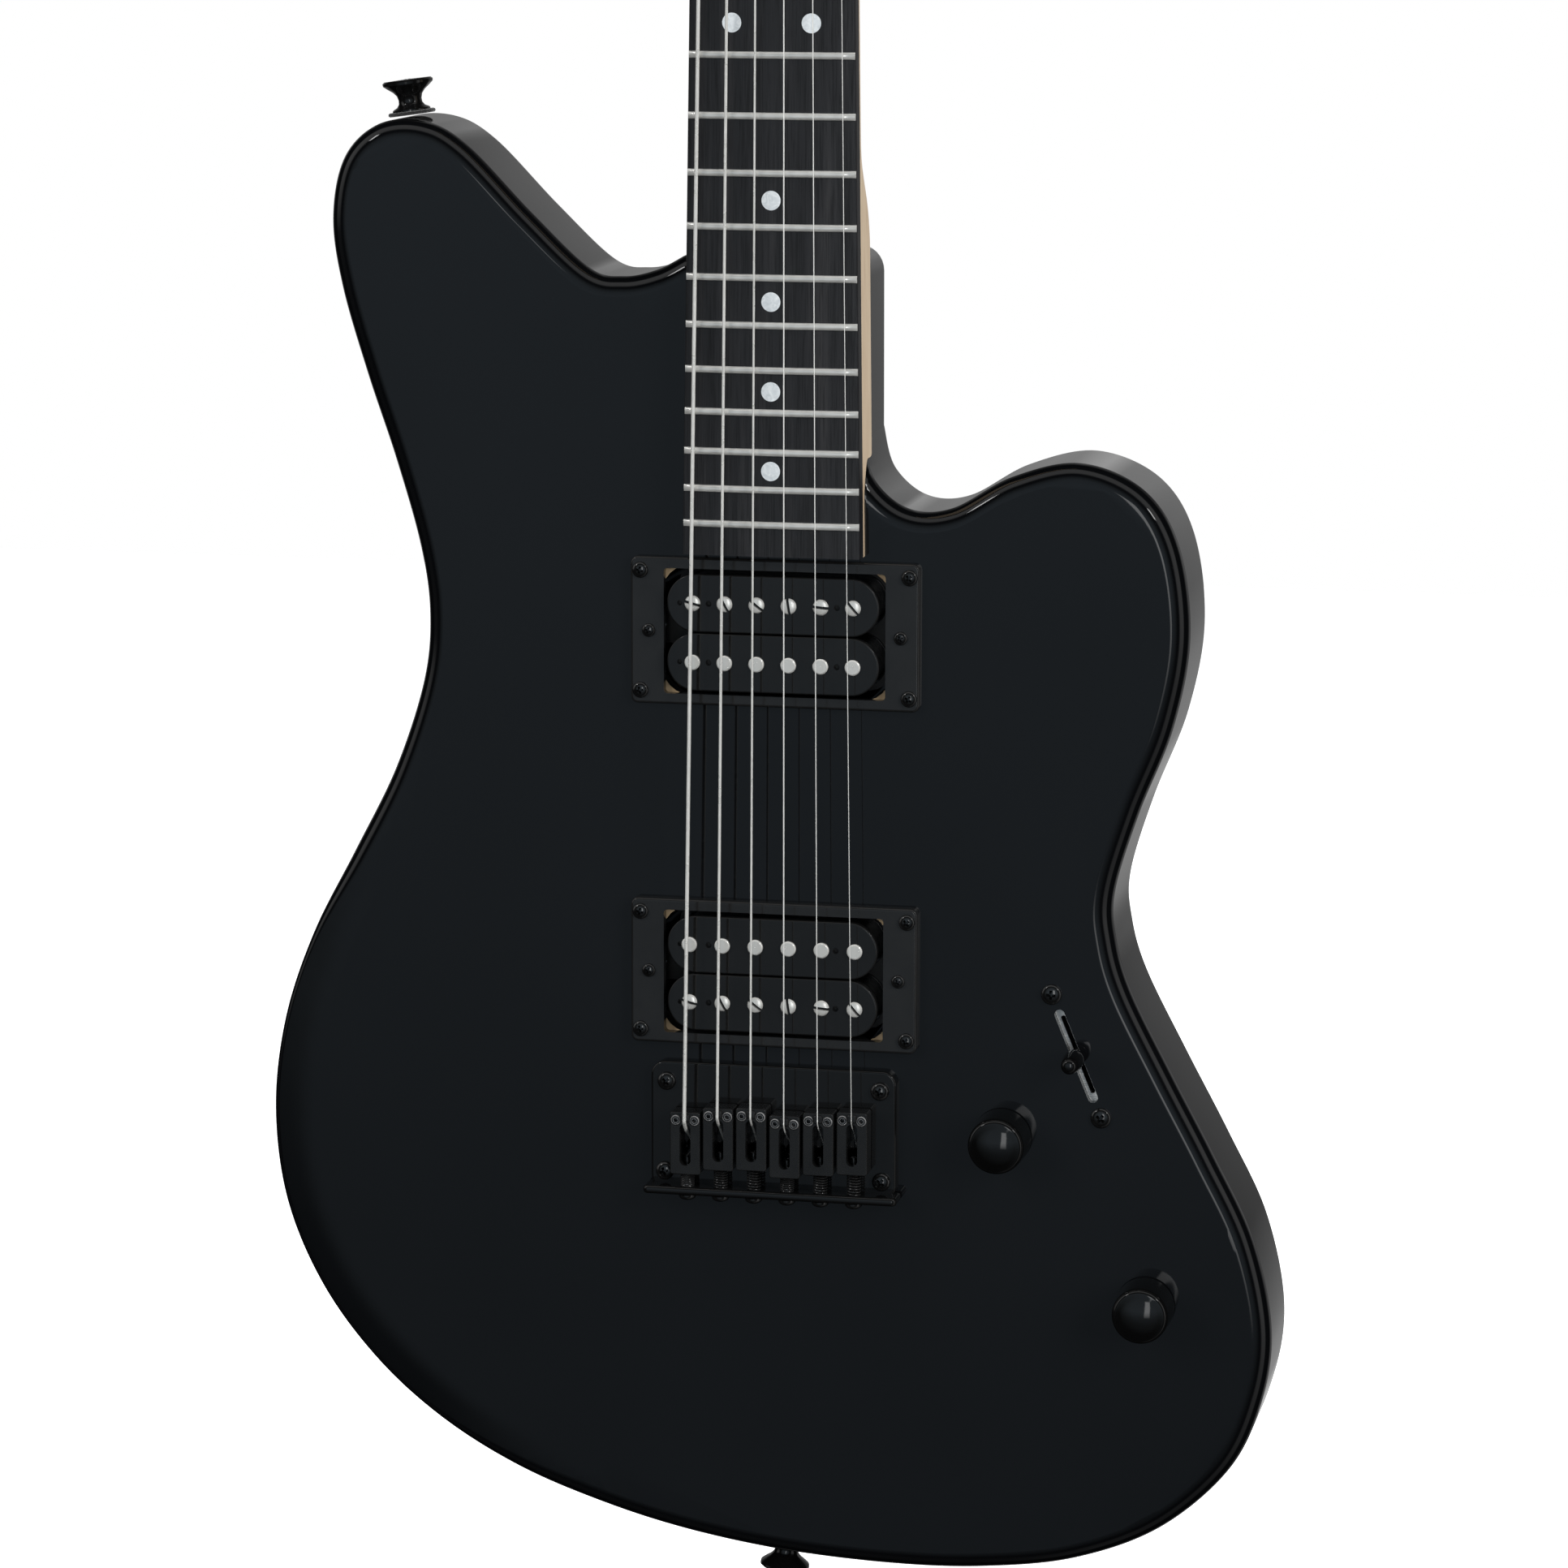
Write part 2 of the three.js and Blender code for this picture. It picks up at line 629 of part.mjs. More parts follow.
const tipProfile = [
  [0, -15.4], [1.6, -15.1], [2.5, -14.2], [2.8, -12.5], [3.3, -8], [3.2, -4.2], [2.7, -3.4],
  [0, -3.4],
];
const switchTip = cut(turned(tipProfile, 14), box(2, 14, 4, 0, -3.4, 0));
piece("switch_tip", switchTip, GLOSS_BLACK, selector);

// ---------------------------------------------------------------- output jack
// Turned about Y here and stood on Z, so the socket's mouth points down out of the body's edge.
const jackUnit = new THREE.Group();
jackUnit.position.set(JACK_X, JACK_Y, JACK_SEAT_Z - 3);
jackUnit.rotation.x = -Math.PI / 2;
atScaleEnd.add(jackUnit);
const JACK_PROFILE = [
  [3.25, 0], [7, 0], [7, -1.1], [4.6, -1.1], [4.6, -6], [8.4, -6], [8.4, -28], [3.25, -28],
  [3.25, 0],
];
piece("output_jack", turned(JACK_PROFILE, 16), STEEL, jackUnit);

const jackPlate = cut(
  box(...JACK_PLATE, JACK_X, JACK_Y, JACK_SEAT_Z - 0.9),
  bar(5, new THREE.Vector3(JACK_X, JACK_Y, -155), new THREE.Vector3(JACK_X, JACK_Y, -140), 16),
);
piece("jack_plate", jackPlate, BLACK_METAL);

// ---------------------------------------------------------------- strap buttons
const BUTTON_PROFILE = [
  [0, 0.2], [5.8, 0.2], [5.8, 1.6], [3.5, 3.6], [3.7, 6.4], [7.9, 9.7], [7.9, 11.2], [0, 11.2],
];
for (const [name, x, z, turn] of [
  ["strap_button_upper", -120.4, 302.7, THREE.MathUtils.degToRad(-8)],
  ["strap_button_lower", 0, -147.75, THREE.MathUtils.degToRad(186)],
]) {
  const unit = new THREE.Group();
  unit.position.set(x, JACK_Y, z);
  unit.rotation.set(Math.PI / 2, turn, 0, "YXZ");
  atScaleEnd.add(unit);
  piece(name, turned(BUTTON_PROFILE, 16), BLACK_METAL, unit);
}

// ---------------------------------------------------------------- pickups
for (const [name, z, rise] of [
  ["neck_pickup", NECK_PICKUP_Z, 2.6],
  ["bridge_pickup", BRIDGE_PICKUP_Z, 3.4],
]) {
  const unit = new THREE.Group();
  unit.position.z = z;
  atScaleEnd.add(unit);
  const ring = cut(
    slab(roundedBox(...RING_SIZE, 2), -rise, -0.05, 2),
    slab(roundedBox(...WINDOW_SIZE, 1), -rise - 1, 1, 2),
  );
  piece(`${name}_ring`, ring, SATIN_BLACK, unit);
  const [baseFront, baseBack] = BASE_DEPTHS;
  const base = union(
    slab(roundedBox(66.5, 37.6, 6), baseFront, baseBack, 2),
    box(84, baseBack - baseFront, 12, 0, (baseFront + baseBack) / 2, 0),
  );
  piece(`${name}_base`, base, STEEL, unit);
  for (const [side, shift] of [["upper", BOBBIN_SHIFT], ["lower", -BOBBIN_SHIFT]]) {
    const bobbin = slab(roundedBox(...BOBBIN_SIZE, 8.9, 0, shift), ...BOBBIN_DEPTHS, 5);
    piece(`${name}_${side}_bobbin`, bobbin, SATIN_BLACK, unit);
  }
}

// ---------------------------------------------------------------- bridge
function bridgePlate() {
  const floor = slab(
    roundedBox(PLATE_WIDTH, PLATE_FRONT - LIP_BACK, 4, 0, (PLATE_FRONT + LIP_BACK) / 2),
    -PLATE_THICKNESS,
    -0.05,
    3,
  );
  const lip = slab(
    roundedBox(...LIP_SIZE, 1.2, 0, LIP_BACK + LIP_SIZE[1] / 2),
    -LIP_TOP,
    -0.05,
    3,
  );
  const holes = [];
  for (let i = 0; i < STRING_COUNT; i++) {
    const { x } = stringPoint(i, 0);
    holes.push(slab(roundedBox(3.6, 9, 1.7, x, STRING_HOLE_Z + 1), -PLATE_THICKNESS - 1, 1, 3));
  }
  return cut(union(floor, lip), ...holes);
}
piece("bridge_plate", bridgePlate(), BLACK_METAL);

// A saddle: a block with a long slot that the string drops through, behind its crest.
function saddle(i) {
  const { x } = stringPoint(i, 0);
  const front = SADDLE_FRONTS[i];
  const [width, length] = SADDLE_SIZE;
  const crest = stringPoint(i, front).y + STRING_DIAMETERS[i] / 2 + 0.1;
  const block = box(
    width,
    SADDLE_TOP - SADDLE_BOTTOM,
    length,
    x,
    -(SADDLE_TOP + SADDLE_BOTTOM) / 2,
    front - length / 2,
  );
  const ridge = box(3.4, -crest - SADDLE_BOTTOM, 2.6, x, (crest - SADDLE_BOTTOM) / 2, front - 2.1);
  const slot = slab(roundedBox(3.5, 13.4, 1.7, x, front - 10.4), -SADDLE_TOP - 2, 1, 4);
  return cut(union(block, ridge), slot);
}
for (let i = 0; i < STRING_COUNT; i++) piece(`saddle_${i + 1}`, saddle(i), BLACK_METAL);

// ---------------------------------------------------------------- strings
// A string rises through the body, bends behind its saddle, and winds round its tuner post.
function stringRoute(i) {
  const bend = SADDLE_FRONTS[i] - 6.6;
  const { x } = stringPoint(i, 0);
  const route = [
    new THREE.Vector3(x, BODY_THICKNESS - 13, STRING_HOLE_Z),
    new THREE.Vector3(x, -1.5, STRING_HOLE_Z),
    new THREE.Vector3(x, -3.5, STRING_HOLE_Z + 0.6),
    stringPoint(i, bend).add(new THREE.Vector3(0, 1.2, -0.6)),
    stringPoint(i, bend + 0.8),
    stringPoint(i, SCALE_LENGTH + 0.6),
  ].map((point) => point.add(atScaleEnd.position));
  const post = postPlace(i);
  const wrap = POST_RADIUS + STRING_DIAMETERS[i] / 2 + GAP;
  const turns = 1.75;
  const steps = 8 * turns;
  const rise = turns * (STRING_DIAMETERS[i] + 0.25);
  for (let step = 0; step <= steps; step++) {
    const angle = (2 * Math.PI * turns * step) / steps;
    const point = new THREE.Vector3(
      post.x + wrap * Math.cos(angle),
      -7.5 + (rise * step) / steps,
      post.y + wrap * Math.sin(angle),
    );
    route.push(point.applyEuler(headstock.rotation).add(headstock.position));
  }
  return route;
}
for (let i = 0; i < STRING_COUNT; i++) {
  piece(`string_${i + 1}`, wire(stringRoute(i), STRING_DIAMETERS[i]), STEEL, guitar);
}

// ---------------------------------------------------------------- tuners
// Each tuner's own frame has its post along Y, and its worm shaft along -X, past the gear.
const WORM_OFFSET = GEAR_RADIUS + WORM_RADIUS + GAP;
const HOUSING_BACK = HEADSTOCK_THICKNESS + 9;
const WORM_DEPTH = HEADSTOCK_THICKNESS + 4.2;

function tunerHousing() {
  const outer = slab(
    roundedBox(17, 20.4, 3, 0, 2.6),
    HEADSTOCK_THICKNESS + 0.2,
    HOUSING_BACK,
    2,
  );
  const hollow = box(
    14.4,
    HOUSING_BACK - HEADSTOCK_THICKNESS - 0.2,
    17.8,
    0,
    (HOUSING_BACK + HEADSTOCK_THICKNESS) / 2 - 1.1,
    2.6,
  );
  const collar = bar(
    3.4,
    new THREE.Vector3(-8, WORM_DEPTH, WORM_OFFSET),
    new THREE.Vector3(-11.4, WORM_DEPTH, WORM_OFFSET),
    8,
  );
  const shaftHole = bar(
    2.4,
    new THREE.Vector3(-5, WORM_DEPTH, WORM_OFFSET),
    new THREE.Vector3(-13, WORM_DEPTH, WORM_OFFSET),
    8,
  );
  return cut(union(outer, collar), hollow, shaftHole);
}

function tunerPost() {
  return union(
    rod(POST_RADIUS, -12.5, HEADSTOCK_THICKNESS + 6, 0, 0, 12),
    rod(GEAR_RADIUS, HEADSTOCK_THICKNESS + 2.4, HEADSTOCK_THICKNESS + 6.4, 0, 0, 12),
  );
}

function tunerButton() {
  const shaft = bar(
    WORM_RADIUS,
    new THREE.Vector3(6.6, WORM_DEPTH, WORM_OFFSET),
    new THREE.Vector3(-16, WORM_DEPTH, WORM_OFFSET),
    8,
  );
  const stem = bar(
    3.2,
    new THREE.Vector3(-12.2, WORM_DEPTH, WORM_OFFSET),
    new THREE.Vector3(-17, WORM_DEPTH, WORM_OFFSET),
    8,
  );
  const outline = new THREE.Shape();
  outline.absellipse(-23.5, WORM_OFFSET, ...BUTTON_AXES, 0, 2 * Math.PI);
  const paddle = slab(outline, WORM_DEPTH - 3.2, WORM_DEPTH + 3.2, 7);
  return union(shaft, stem, paddle);
}

for (let i = 0; i < STRING_COUNT; i++) {
  const unit = new THREE.Group();
  const { x, y } = postPlace(i);
  unit.position.set(x, 0, y);
  unit.rotation.y = POST_LEAN;
  headstock.add(unit);
  piece(`tuner_${i + 1}_housing`, tunerHousing(), BLACK_METAL, unit);
  piece(`tuner_${i + 1}_post`, tunerPost(), BLACK_METAL, unit);
  piece(`tuner_${i + 1}_button`, tunerButton(), BLACK_METAL, unit);
}

export default guitar;
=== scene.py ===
# A solid-body electric guitar, upright. Metres: +X right seen from the front, +Y from face to back,
# +Z up the neck. Shapes are made in millimetres and scaled when they become pieces.
import math

import bmesh
import bpy
from mathutils import Matrix, Vector
from mathutils.geometry import delaunay_2d_cdt, intersect_point_line

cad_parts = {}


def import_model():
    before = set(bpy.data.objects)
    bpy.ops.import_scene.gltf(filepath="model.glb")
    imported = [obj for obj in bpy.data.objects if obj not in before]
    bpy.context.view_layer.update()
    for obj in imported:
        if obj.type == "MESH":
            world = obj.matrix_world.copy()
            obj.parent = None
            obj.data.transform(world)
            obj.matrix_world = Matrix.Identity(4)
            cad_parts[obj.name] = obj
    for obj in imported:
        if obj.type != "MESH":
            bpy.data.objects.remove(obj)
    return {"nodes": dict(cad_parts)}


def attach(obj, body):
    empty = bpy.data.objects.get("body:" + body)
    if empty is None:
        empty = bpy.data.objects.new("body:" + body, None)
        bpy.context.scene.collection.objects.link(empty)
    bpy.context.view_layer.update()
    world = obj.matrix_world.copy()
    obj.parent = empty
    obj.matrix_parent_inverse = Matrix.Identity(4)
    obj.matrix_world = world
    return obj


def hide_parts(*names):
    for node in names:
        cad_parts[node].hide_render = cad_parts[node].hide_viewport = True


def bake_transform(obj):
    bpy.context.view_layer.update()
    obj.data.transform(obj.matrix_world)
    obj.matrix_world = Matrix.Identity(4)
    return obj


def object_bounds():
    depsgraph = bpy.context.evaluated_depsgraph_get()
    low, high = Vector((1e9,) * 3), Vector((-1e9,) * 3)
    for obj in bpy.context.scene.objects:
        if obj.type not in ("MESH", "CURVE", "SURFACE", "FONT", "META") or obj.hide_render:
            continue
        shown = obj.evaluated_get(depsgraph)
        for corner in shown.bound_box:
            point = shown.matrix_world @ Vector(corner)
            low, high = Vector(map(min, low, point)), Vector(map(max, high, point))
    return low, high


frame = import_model()
CAD_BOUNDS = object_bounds()
MM = 0.001

# ---------------------------------------------------------------- driving dimensions, in millimetres
SCALE_LENGTH = 647.7
FRET_COUNT = 22
FRET_HALF, FRET_RISE, FRET_BEVEL = 1.1, 1.1, 1.1
DOT_FRETS = (3, 5, 7, 9, 12, 15, 17, 19, 21)
STRING_COUNT = 6
STRING_DIAMETERS = [1.17, 0.91, 0.66, 0.43, 0.33, 0.25]
WOUND_STRINGS = 3
BLEND_LENGTH = 40
SPREAD_NUT, SPREAD_BRIDGE = 35.7, 52.9
HEIGHT_NUT, HEIGHT_BRIDGE = 10.3, 11.9
BODY_THICKNESS = 44.5
BODY_ROUNDOVER = 6.0
BOARD_TOP = 8.3
BOARD_BOTTOM = 2.3
BOARD_RADIUS = 400.0
BOARD_HALF_NUT, BOARD_HALF_END = 21.45, 27.7
BOARD_END = SCALE_LENGTH - 172.0
POCKET_DEPTH = 17.0
SHAFT_START, HEEL_START = 12, 345
HEEL_TOP = SCALE_LENGTH - 264.0
HEEL_DEPTH = POCKET_DEPTH + BOARD_BOTTOM - 0.05
CONTROL_WALL = 5.0
CAVITY_DEPTH = 21.0
LEDGE_DEPTH = 0.25
HEAD_TILT = math.radians(9)
HEAD_THICKNESS = 14.0
PICKUP_POSITIONS = {"neck": 147.4, "bridge": 40.4}
RING_RISE = {"neck": 2.6, "bridge": 3.4}
POLE_SPREAD = {"neck": 50.2, "bridge": 52.3}
POLE_TOP = 5.9
COIL_SHIFT = 9.15
EAR_X = 39.5
VOLUME_AT, TONE_AT = (72.0, -8.0), (117.4, -59.2)
SWITCH_AT, SWITCH_TILT = (94.8, 18.8), math.radians(22.5)
JACK_AT = (58.0, 22.0, -149.0)
NECK_PLATE_AT = (-3, 223)
PLATE_TOP = 3.0
LIP_TOP = 9.6
LIP_BACK = -29.8
PLATE_FRONT = 11.5
INTONATION_Y = -6.6
GRUB_X, GRUB_BACK = 2.95, 2.6
CREST_BACK = 1.9
SADDLE_FRONTS = [-2.9, -1.0, -0.4, -2.2, -0.9, -0.3]
SADDLE_WIDTH, SADDLE_LENGTH, SADDLE_BOTTOM = 9.7, 20.0, 3.6
STRING_HOLE = -15.4
POST_RADIUS = 3.0
FIRST_POST_HEIGHT, POST_STEP = 40.0, 25.0
WRAP_GAP = 0.3
WORM_OFFSET, WORM_DEPTH = 7.7, 18.2
HOUSING_BACK = HEAD_THICKNESS + 9.0


# ---------------------------------------------------------------- places
def at(x=0.0, y=0.0, z=0.0):
    return Matrix.Translation((x, y, z))


def turn(axis, angle):
    return Matrix.Rotation(angle, 4, axis)


# LOW carries shapes measured from the scale end; HEAD carries those measured on the headstock's face.
LOW = at(0, 0, -SCALE_LENGTH)
HEAD = at(0, -BOARD_BOTTOM, 0) @ turn("X", -HEAD_TILT)
SWITCH = at(SWITCH_AT[0], 0, SWITCH_AT[1]) @ turn("Y", -SWITCH_TILT)
# These turn a shape's front, which faces -Y, to face -Z or +Y.
FACING_DOWN = turn("X", math.pi / 2)
FACING_BACK = turn("Z", math.pi)
SQUARE_CORNERS = ((-1, -1), (1, -1), (1, 1), (-1, 1))


# ---------------------------------------------------------------- solids
class Solid:
    """Vertices and faces in millimetres; each face has the number of its material."""

    def __init__(self, vertices, faces, material=0):
        self.vertices = [Vector(v) for v in vertices]
        self.faces = [list(f) for f in faces]
        self.materials = [material] * len(self.faces)

    def placed(self, matrix):
        self.vertices = [matrix @ v for v in self.vertices]
        return self

    def painted(self, material):
        self.materials = [material] * len(self.faces)
        return self

    def moved(self, x=0.0, y=0.0, z=0.0):
        return self.placed(at(x, y, z))

    def copy(self):
        twin = Solid(self.vertices, self.faces)
        twin.materials = list(self.materials)
        return twin

    def __add__(self, other):
        total = self.copy()
        start = len(total.vertices)
        total.vertices += [v.copy() for v in other.vertices]
        total.faces += [[start + i for i in f] for f in other.faces]
        total.materials += other.materials
        return total

    def mesh(self, name, matrix=None):
        made = bpy.data.meshes.new(name)
        work = bmesh.new()
        points = [work.verts.new(matrix @ v if matrix else v) for v in self.vertices]
        for face, material in zip(self.faces, self.materials):
            made_face = work.faces.new([points[i] for i in face])
            made_face.material_index = material
            made_face.smooth = True
        bmesh.ops.recalc_face_normals(work, faces=work.faces)
        work.to_mesh(made)
        work.free()
        return made

    def cut(self, *others):
        return boolean(self, others, "DIFFERENCE")

    def join(self, *others):
        return boolean(self, others, "UNION")


def together(solids):
    """Several solids as one, side by side."""
    first, *others = solids
    for other in others:
        first = first + other
    return first


MOST_MATERIALS = 4


def boolean(first, others, operation):
    """The first solid with the others cut from it or joined to it, one after the other."""
    collection = bpy.context.scene.collection
    holders = []
    for solid in (first, *others):
        holder = bpy.data.objects.new("work", solid.mesh("work"))
        for _ in range(MOST_MATERIALS):
            holder.data.materials.append(None)
        collection.objects.link(holder)
        holders.append(holder)
    for tool in holders[1:]:
        step = holders[0].modifiers.new("boolean", "BOOLEAN")
        step.operation = operation
        step.solver = "EXACT"
        step.object = tool
    depsgraph = bpy.context.evaluated_depsgraph_get()
    mesh = holders[0].evaluated_get(depsgraph).to_mesh()
    result = Solid([v.co for v in mesh.vertices], [p.vertices for p in mesh.polygons])
    result.materials = [p.material_index for p in mesh.polygons]
    if not result.faces:
        raise ValueError("a cut or a join left nothing")
    holders[0].evaluated_get(depsgraph).to_mesh_clear()
    for holder in holders:
        data = holder.data
        bpy.data.objects.remove(holder)
        bpy.data.meshes.remove(data)
    return result


def rings(stations, closed=False, capped=True):
    """A surface through rings of equally many points, or of one point at a pole."""
    vertices, faces, starts = [], [], []
    for ring in stations:
        starts.append((len(vertices), len(ring)))
        vertices += ring
    pairs = list(zip(starts, starts[1:]))
    if closed:
        pairs.append((starts[-1], starts[0]))
    for (a, count_a), (b, count_b) in pairs:
        count = max(count_a, count_b)
        for i in range(count):
            j = (i + 1) % count
            if count_a == 1:
                faces.append([a, b + i, b + j])
            elif count_b == 1:
                faces.append([a + i, a + j, b])
            else:
                faces.append([a + i, a + j, b + j, b + i])
    if capped and not closed:
        for start, count in (starts[0], starts[-1]):
            if count > 2:
                faces.append(list(range(start, start + count)))
    return Solid(vertices, faces)


def inset(outline, distance):
    """A closed outline, anticlockwise, moved inwards by one distance, or by one for each point."""
    distances = distance if isinstance(distance, list) else [distance] * len(outline)
    moved = []
    for i, (x, z) in enumerate(outline):
        before = Vector(outline[i - 1])
        after = Vector(outline[(i + 1) % len(outline)])
        into = (Vector((x, z)) - before).normalized()
        out = (after - Vector((x, z))).normalized()
        along = (into + out).normalized()
        mitre = distances[i] / max(0.6, into.dot(along))
        moved.append((x - along.y * mitre, z + along.x * mitre))
    return moved


def slab(outline, front, back, round_front=0.0, round_back=0.0, steps=4):
    """A plate between two depths, with its outline in X and Z and its edges rounded."""
    stations = []
    for radius, depth, sign in ((round_front, front, 1), (round_back, back, -1)):
        count = steps if radius else 0
        edge = []
        for k in range(count + 1):
            angle = math.pi / 2 * (k / count if count else 1)
            edge.append((radius * (1 - math.sin(angle)), depth + sign * radius * (1 - math.cos(angle))))
        stations += edge if sign > 0 else edge[::-1]
    made = []
    for distance, depth in stations:
        ring = inset(outline, distance) if distance > 1e-6 else outline
        made.append([(x, depth, z) for x, z in ring])
    return rings(made)


def turned(profile, sides=48, closed=False):
    """A solid turned about Y, from points of radius and depth."""
    made = []
    for radius, depth in profile:
        if radius < 1e-6:
            made.append([(0, depth, 0)])
            continue
        ring = []
        for k in range(sides):
            angle = 2 * math.pi * k / sides
            ring.append((radius * math.cos(angle), depth, radius * math.sin(angle)))
        made.append(ring)
    return rings(made, closed)


def tube(path, radius, sides=10):
    """A round tube along a path."""
    points = [Vector(p) for p in path]
    side = None
    made = []
    for i, point in enumerate(points):
        along = (points[min(i + 1, len(points) - 1)] - points[max(i - 1, 0)]).normalized()
        if side is None:
            side = along.orthogonal().normalized()
        side = (side - along * side.dot(along)).normalized()
        other = along.cross(side)
        ring = []
        for k in range(sides):
            angle = 2 * math.pi * k / sides
            ring.append(point + radius * (math.cos(angle) * side + math.sin(angle) * other))
        made.append(ring)
    return rings(made)


def rod(radius, front, back, x=0.0, z=0.0, sides=24):
    return turned([(0, front), (radius, front), (radius, back), (0, back)], sides).moved(x, 0, z)


def bar(radius, start, end, sides=20):
    return tube([start, end], radius, sides)


def box(width, depth, height, x=0.0, y=0.0, z=0.0):
    outline = [(sign_x * width / 2, sign_z * height / 2) for sign_x, sign_z in SQUARE_CORNERS]
    return slab(outline, y - depth / 2, y + depth / 2).moved(x, 0, z)


def rounded_box(width, height, radius, x=0.0, z=0.0, steps=8):
    points = []
    for corner, (sign_x, sign_z) in enumerate([(1, 1), (-1, 1), (-1, -1), (1, -1)]):
        for k in range(steps + 1):
            angle = math.pi / 2 * (corner + k / steps)
            points.append(
                (
                    x + sign_x * (width / 2 - radius) + radius * math.cos(angle),
                    z + sign_z * (height / 2 - radius) + radius * math.sin(angle),
                )
            )
    return points


def spline(points, steps):
    """Points along a smooth open curve that goes through the given points."""
    given = [Vector(p) for p in points]
    made = []
    for i in range(len(given) - 1):
        before = given[max(i - 1, 0)]
        start, end = given[i], given[i + 1]
        after = given[min(i + 2, len(given) - 1)]
        leave, arrive = (end - before) / 2, (after - start) / 2
        for k in range(steps):
            t = k / steps
            made.append(
                (2 * start - 2 * end + leave + arrive) * t**3
                + (3 * end - 3 * start - 2 * leave - arrive) * t**2
                + leave * t
                + start
            )
    made.append(given[-1])
    return [tuple(p) for p in made]


def arc(x, z, radius, start, end, steps=8):
    points = []
    for k in range(steps + 1):
        angle = math.radians(start + (end - start) * k / steps)
        points.append((x + radius * math.cos(angle), z + radius * math.sin(angle)))
    return points


def bend(start, control, end, steps=8):
    """Points of a curve that leaves towards a control point and arrives from it."""
    a, b, c = Vector(start), Vector(control), Vector(end)
    points = []
    for k in range(1, steps + 1):
        t = k / steps
        points.append(tuple(a * (1 - t) ** 2 + b * (2 * t * (1 - t)) + c * t**2))
    return points


def smooth_step(value, start, end):
    share = min(max((value - start) / (end - start), 0.0), 1.0)
    return share * share * (3 - 2 * share)


# ---------------------------------------------------------------- pieces
CREASE = math.radians(32)


def piece(name, solid, materials, body="root", place=LOW, replaces=(), slot="black_metal", blend=None):
    """A piece of the guitar, made from a solid in its own frame."""
    mesh = solid.mesh(name, Matrix.Scale(MM, 4) @ place)
    for material in materials:
        mesh.materials.append(material)
    mesh.set_sharp_from_angle(angle=CREASE)
    made = bpy.data.objects.new(name, mesh)
    bpy.context.scene.collection.objects.link(made)
    if blend:
        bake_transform(made)
    else:
        even = made.modifiers.new("even_normals", "WEIGHTED_NORMAL")
        even.keep_sharp = True
        even.weight = 100
        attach(made, body)
    if replaces:
        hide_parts(*replaces)
    return made


def dress(material, *nodes):
    """Gives kept CAD nodes a finished material."""
    for node in nodes:
        for place in frame["nodes"][node].material_slots:
            place.material = material


# ---------------------------------------------------------------- materials
class Tree:
    """A node tree, with the few steps that the materials and the world here share."""

    def __init__(self, owner):
        owner.use_nodes = True
        self.tree = owner.node_tree

    def add(self, kind, **values):
        node = self.tree.nodes.new(kind)
        for key, value in values.items():
            setattr(node, key, value)
        return node

    def link(self, start, end):
        self.tree.links.new(start, end)

    def ramp(self, value, stops):
        node = self.add("ShaderNodeValToRGB")
        elements = node.color_ramp.elements
        while len(elements) < len(stops):
            elements.new(0.5)
        for element, (place, colour) in zip(elements, stops):
            element.position = place
            element.color = (*colour, 1.0)
        self.link(value, node.inputs["Fac"])
        return node.outputs["Color"]

    def spread(self, value, low, high, start=0.3, end=0.7):
        node = self.add("ShaderNodeMapRange")
        for key, number in (("From Min", start), ("From Max", end), ("To Min", low), ("To Max", high)):
            node.inputs[key].default_value = number
        self.link(value, node.inputs["Value"])
        return node.outputs["Result"]

    def mix(self, blend, first, second, share=1.0):
        node = self.add("ShaderNodeMix", data_type="RGBA", blend_type=blend)
        node.inputs["Factor"].default_value = share
        self.link(first, node.inputs["A"])
        self.link(second, node.inputs["B"])
        return node.outputs["Result"]


class Nodes(Tree):
    """The node tree of one material."""

    def __init__(self, name):
        self.material = bpy.data.materials.new(name)
        super().__init__(self.material)
        self.shader = self.tree.nodes["Principled BSDF"]

    def coordinates(self, stretch):
        place = self.add("ShaderNodeTexCoord")
        mapping = self.add("ShaderNodeMapping")
        mapping.inputs["Scale"].default_value = stretch
        self.link(place.outputs["Object"], mapping.inputs["Vector"])
        return mapping.outputs["Vector"]

    def noise(self, stretch, detail=4.0, roughness=0.55, distortion=0.0):
        node = self.add("ShaderNodeTexNoise")
        settings = {"Scale": 1.0, "Detail": detail, "Roughness": roughness, "Distortion": distortion}
        for key, number in settings.items():
            node.inputs[key].default_value = number
        self.link(self.coordinates(stretch), node.inputs["Vector"])
        return node.outputs["Fac"]

    def emboss(self, value, depth, strength=1.0):
        node = self.add("ShaderNodeBump")
        node.inputs["Distance"].default_value = depth * MM
        node.inputs["Strength"].default_value = strength
        self.link(value, node.inputs["Height"])
        self.link(node.outputs["Normal"], self.shader.inputs["Normal"])

    def set(self, **values):
        for key, value in values.items():
            self.shader.inputs[key.replace("_", " ")].default_value = value


def even(scale):
    return (scale, scale, scale)


def grey(value):
    return (value, value, value)


def finish(name, dark, light, scale, rough, metallic=0.0, ior=1.5, relief=0.0, relief_scale=None):
    """A finish whose colour and gloss vary a little, with a fine relief."""
    nodes = Nodes(name)
    patches = nodes.noise(even(scale))
    nodes.link(nodes.ramp(patches, [(0.3, dark), (0.7, light)]), nodes.shader.inputs["Base Color"])
    fine = nodes.noise(even(relief_scale or scale * 6), detail=3.0)
    nodes.link(nodes.spread(fine, *rough), nodes.shader.inputs["Roughness"])
    if relief:
        nodes.emboss(fine, relief)
    nodes.set(Metallic=metallic, IOR=ior)
    return nodes.material


